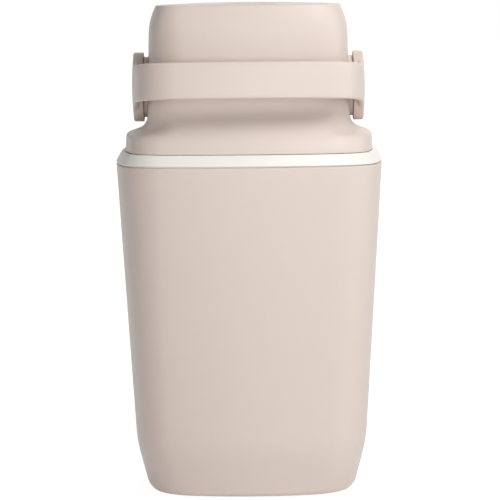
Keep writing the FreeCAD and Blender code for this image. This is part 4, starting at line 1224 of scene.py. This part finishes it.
chute_section = screw_section(SCREW_ROOT, FLANGE_TOP, SCREW_TIP, SCREW_SHANK, SCREW_HEAD)
screw = spun("chute_screw_set", chute_section, steps=40, axis="z")
cut_cross(screw, "z", CROSS_ARM, CROSS_HALF, CROSS_FOOT, CROSS_END)
chute_screws = [place_copy(screw, (x, y, 0)) for x in (-SCREW_X, SCREW_X) for y in SCREW_Y]
bpy.data.objects.remove(screw)
chute_screws[0].name = "chute_screw_set"
finish_piece(join(chute_screws), "chute_screws", "hood", "steel")

# %% [markdown]
# A larger screw at each side holds a lock hook on the handle's axle. It lies along X with its head
# towards the middle of the pail, so its section runs from the root inwards. It is spun about the
# origin, where the cut is easy to place, lifted to the pivots, and mirrored.

# %% Hook screws
HOOK_ROOT = 88.6
HOOK_SEAT = 73.2
HOOK_TIP = 70.6
HOOK_SHANK = 2.4
HOOK_HEAD = 4.5
HOOK_ARM = 2.9
HOOK_CROSS_HALF = 0.55
HOOK_CROSS = (69, 72.0)
hook_section = screw_section(HOOK_ROOT, HOOK_SEAT, HOOK_TIP, HOOK_SHANK, HOOK_HEAD)
hook_screw = spun("hook_screw_pair", hook_section, steps=48, axis="x")
cut_cross(hook_screw, "x", HOOK_ARM, HOOK_CROSS_HALF, *HOOK_CROSS)
move_mesh(hook_screw, (0, 0, PIVOT_Z))
finish_piece(closed(both_sides(hook_screw)), "hook_screws", "handle", "steel")

# %% [markdown]
# ## Inner mouldings, pins and seals
# The chute, the flaps and the other inner parts keep the shape of the engineering model, but a
# moulded or turned part has no knife-sharp edge. Modelling them again would only repeat the model, so
# each gets a copy of its node's mesh whose split vertices are merged, whose flat faces are made whole
# and whose edges are eased by a small bevel.

# %% Eased copies of the inner nodes
EASING = {
    "chute": 0.4, "left_flap": 0.4, "right_flap": 0.4, "lid_liner": 0.4, "bag_ring": 0.5, "foot_pads": 0.3,
    "collar_seal": 0.2, "lid_seal": 0.3, "left_flap_lip": 0.2, "right_flap_lip": 0.2,
    "right_axle_bush": 0.25, "left_axle_bush": 0.25, "right_lock_hook": 0.35, "left_lock_hook": 0.35,
    "hook_washers": 0.2, "lock_studs": 0.25, "hood_hinge_pin": 0.3, "lid_hinge_pin": 0.25,
    "right_flap_pin": 0.2, "left_flap_pin": 0.2,
}
FLAT = math.radians(0.5)
body_of = {node: body for body, nodes in frame["record"]["behaviour"]["bodies"].items() for node in nodes}
slot_of = {part["node"]: part["material_slot"] for part in frame["record"]["subparts"]}


def eased_copy(node, width):
    """A copy of a node's mesh with its sharp edges rounded."""
    source = frame["nodes"][node]
    mesh = source.data.copy()
    mesh.transform(source.matrix_world)
    piece = bpy.data.objects.new(node + "_eased", mesh)
    bpy.context.scene.collection.objects.link(piece)
    activate(piece)
    edit_all()
    bpy.ops.mesh.remove_doubles(threshold=WELD)
    bpy.ops.mesh.dissolve_limited(angle_limit=FLAT)
    bpy.ops.object.mode_set(mode="OBJECT")
    ease(piece, width)
    closed(piece)
    finish_piece(piece, node, body_of[node], slot_of[node])


for node_name, width in EASING.items():
    eased_copy(node_name, width)
print("eased:", len(EASING), "nodes")

# %% [markdown]
# ## Studio
# The pail stands on white with no visible horizon. A curved paper sheet would need more light than
# the pail to look white, so the floor is a plain sheet that the camera sees fade into a glow away from
# the pail, and the world is white to the camera but almost dark as a light. Only the lamps shape the
# pail.

# %% Floor and world
WHITE_FROM = 0.35
WHITE_BY = 1.1
NEAR_SHARE = 0.82
AMBIENT = 0.02
GLOW = 1.16
FLOOR_SIZE = 40
deselect()
bpy.ops.mesh.primitive_plane_add(size=FLOOR_SIZE)
floor = bpy.context.object
floor.name = "studio_floor"


def seen_directly(finish):
    """1 for rays from the camera, and for those mirrored or let through on their way, else 0."""
    rays = finish.tree.nodes.new("ShaderNodeLightPath")
    kinds = ("Is Camera Ray", "Is Glossy Ray", "Is Transmission Ray")
    first, second, third = [Link(finish, rays.outputs[kind]) for kind in kinds]
    settings = {"operation": "ADD", "use_clamp": True}
    return finish.node("ShaderNodeMath", settings, {0: first + second, 1: third})


paper = Finish(bpy.data.materials.new("studio_paper"))
away = paper.node("ShaderNodeVectorMath", {"operation": "LENGTH"}, {0: paper.place()}, "Value")
fade = paper.node(
    "ShaderNodeMapRange", {"interpolation_type": "SMOOTHSTEP"},
    {"Value": away, "From Min": WHITE_FROM, "From Max": WHITE_BY, "To Min": NEAR_SHARE, "To Max": 1.0},
)
glow = paper.node("ShaderNodeEmission", {}, {"Color": (1, 1, 1, 1), "Strength": GLOW})
paper.set(Base_Color=(0.85, 0.85, 0.85, 1), Roughness=0.9)
mix = paper.node(
    "ShaderNodeMixShader", {},
    {0: fade * seen_directly(paper), 1: Link(paper, paper.shader.outputs[0]), 2: glow},
)
paper.feed(paper.tree.nodes["Material Output"].inputs["Surface"], mix)
floor.data.materials.append(paper.owner)

world = bpy.data.worlds.new("studio")
bpy.context.scene.world = world
air = Finish(world, "Background")
air.set(Color=(1, 1, 1, 1), Strength=AMBIENT + (1 - AMBIENT) * seen_directly(air))
print("floor", floor.name, "and world", world.name)

# %% [markdown]
# A large soft lamp at the right and above shapes the pail, a wide one low in front fills the tub, and
# others at the sides and behind keep the edges from going dark. Small lamps would be simpler but
# throw hard shadows. The lamp behind is kept out of reflections, so it leaves no streak on the plastic.

# %% Lamps


def soft_lamp(name, place, aim, size, power):
    """A round area lamp at a place, turned towards its aim; metres and watts."""
    deselect()
    bpy.ops.object.light_add(type="AREA", location=place)
    lamp = bpy.context.object
    lamp.name = name
    lamp.data.shape = "DISK"
    lamp.data.size = size
    lamp.data.energy = power
    lamp.rotation_euler = (Vector(aim) - Vector(place)).to_track_quat("-Z", "Y").to_euler()
    return lamp


soft_lamp("key", (0.72, -0.87, 1.46), (0, 0, 0.3), size=0.9, power=17)
soft_lamp("low", (0.2, -2.6, 0.3), (0, 0, 0.15), size=1.6, power=34.5)
soft_lamp("left", (-2.0, -0.3, 0.7), (0, 0, 0.25), size=1.2, power=3.2)
soft_lamp("right", (2.2, 0.0, 0.8), (0, 0, 0.25), size=1.2, power=8)
back = soft_lamp("back", (0.35, 2.3, 1.5), (0, 0, 0.25), size=1.4, power=42)
back.visible_glossy = False

# %% [markdown]
# The camera stands about 2.5 m in front of the pail and a little above it, with a long lens, so the
# sides stay almost parallel. Its place, lens and slight roll were fitted to the pail's outline. The
# focal length is given in pixels of a picture 500 pixels wide.

# %% Camera
DISTANCE = 2.519
CAMERA_HEIGHT = 0.4415
AIM_HEIGHT = 0.2098
FOCAL = 2808.5
PICTURE = 500
SENSOR = 36
ROLL = math.radians(-0.54)
deselect()
bpy.ops.object.camera_add(location=(0, -DISTANCE, CAMERA_HEIGHT))
camera = bpy.context.object
look = (Vector((0, 0, AIM_HEIGHT)) - camera.location).to_track_quat("-Z", "Y").to_matrix().to_4x4()
camera.rotation_euler = (look @ Matrix.Rotation(ROLL, 4, "Z")).to_euler()
camera.data.sensor_width = SENSOR
camera.data.lens = SENSOR * FOCAL / PICTURE
bpy.context.scene.camera = camera
bpy.context.scene.view_settings.view_transform = "Standard"
print("camera:", round(camera.data.lens), "mm lens,", DISTANCE, "m away")
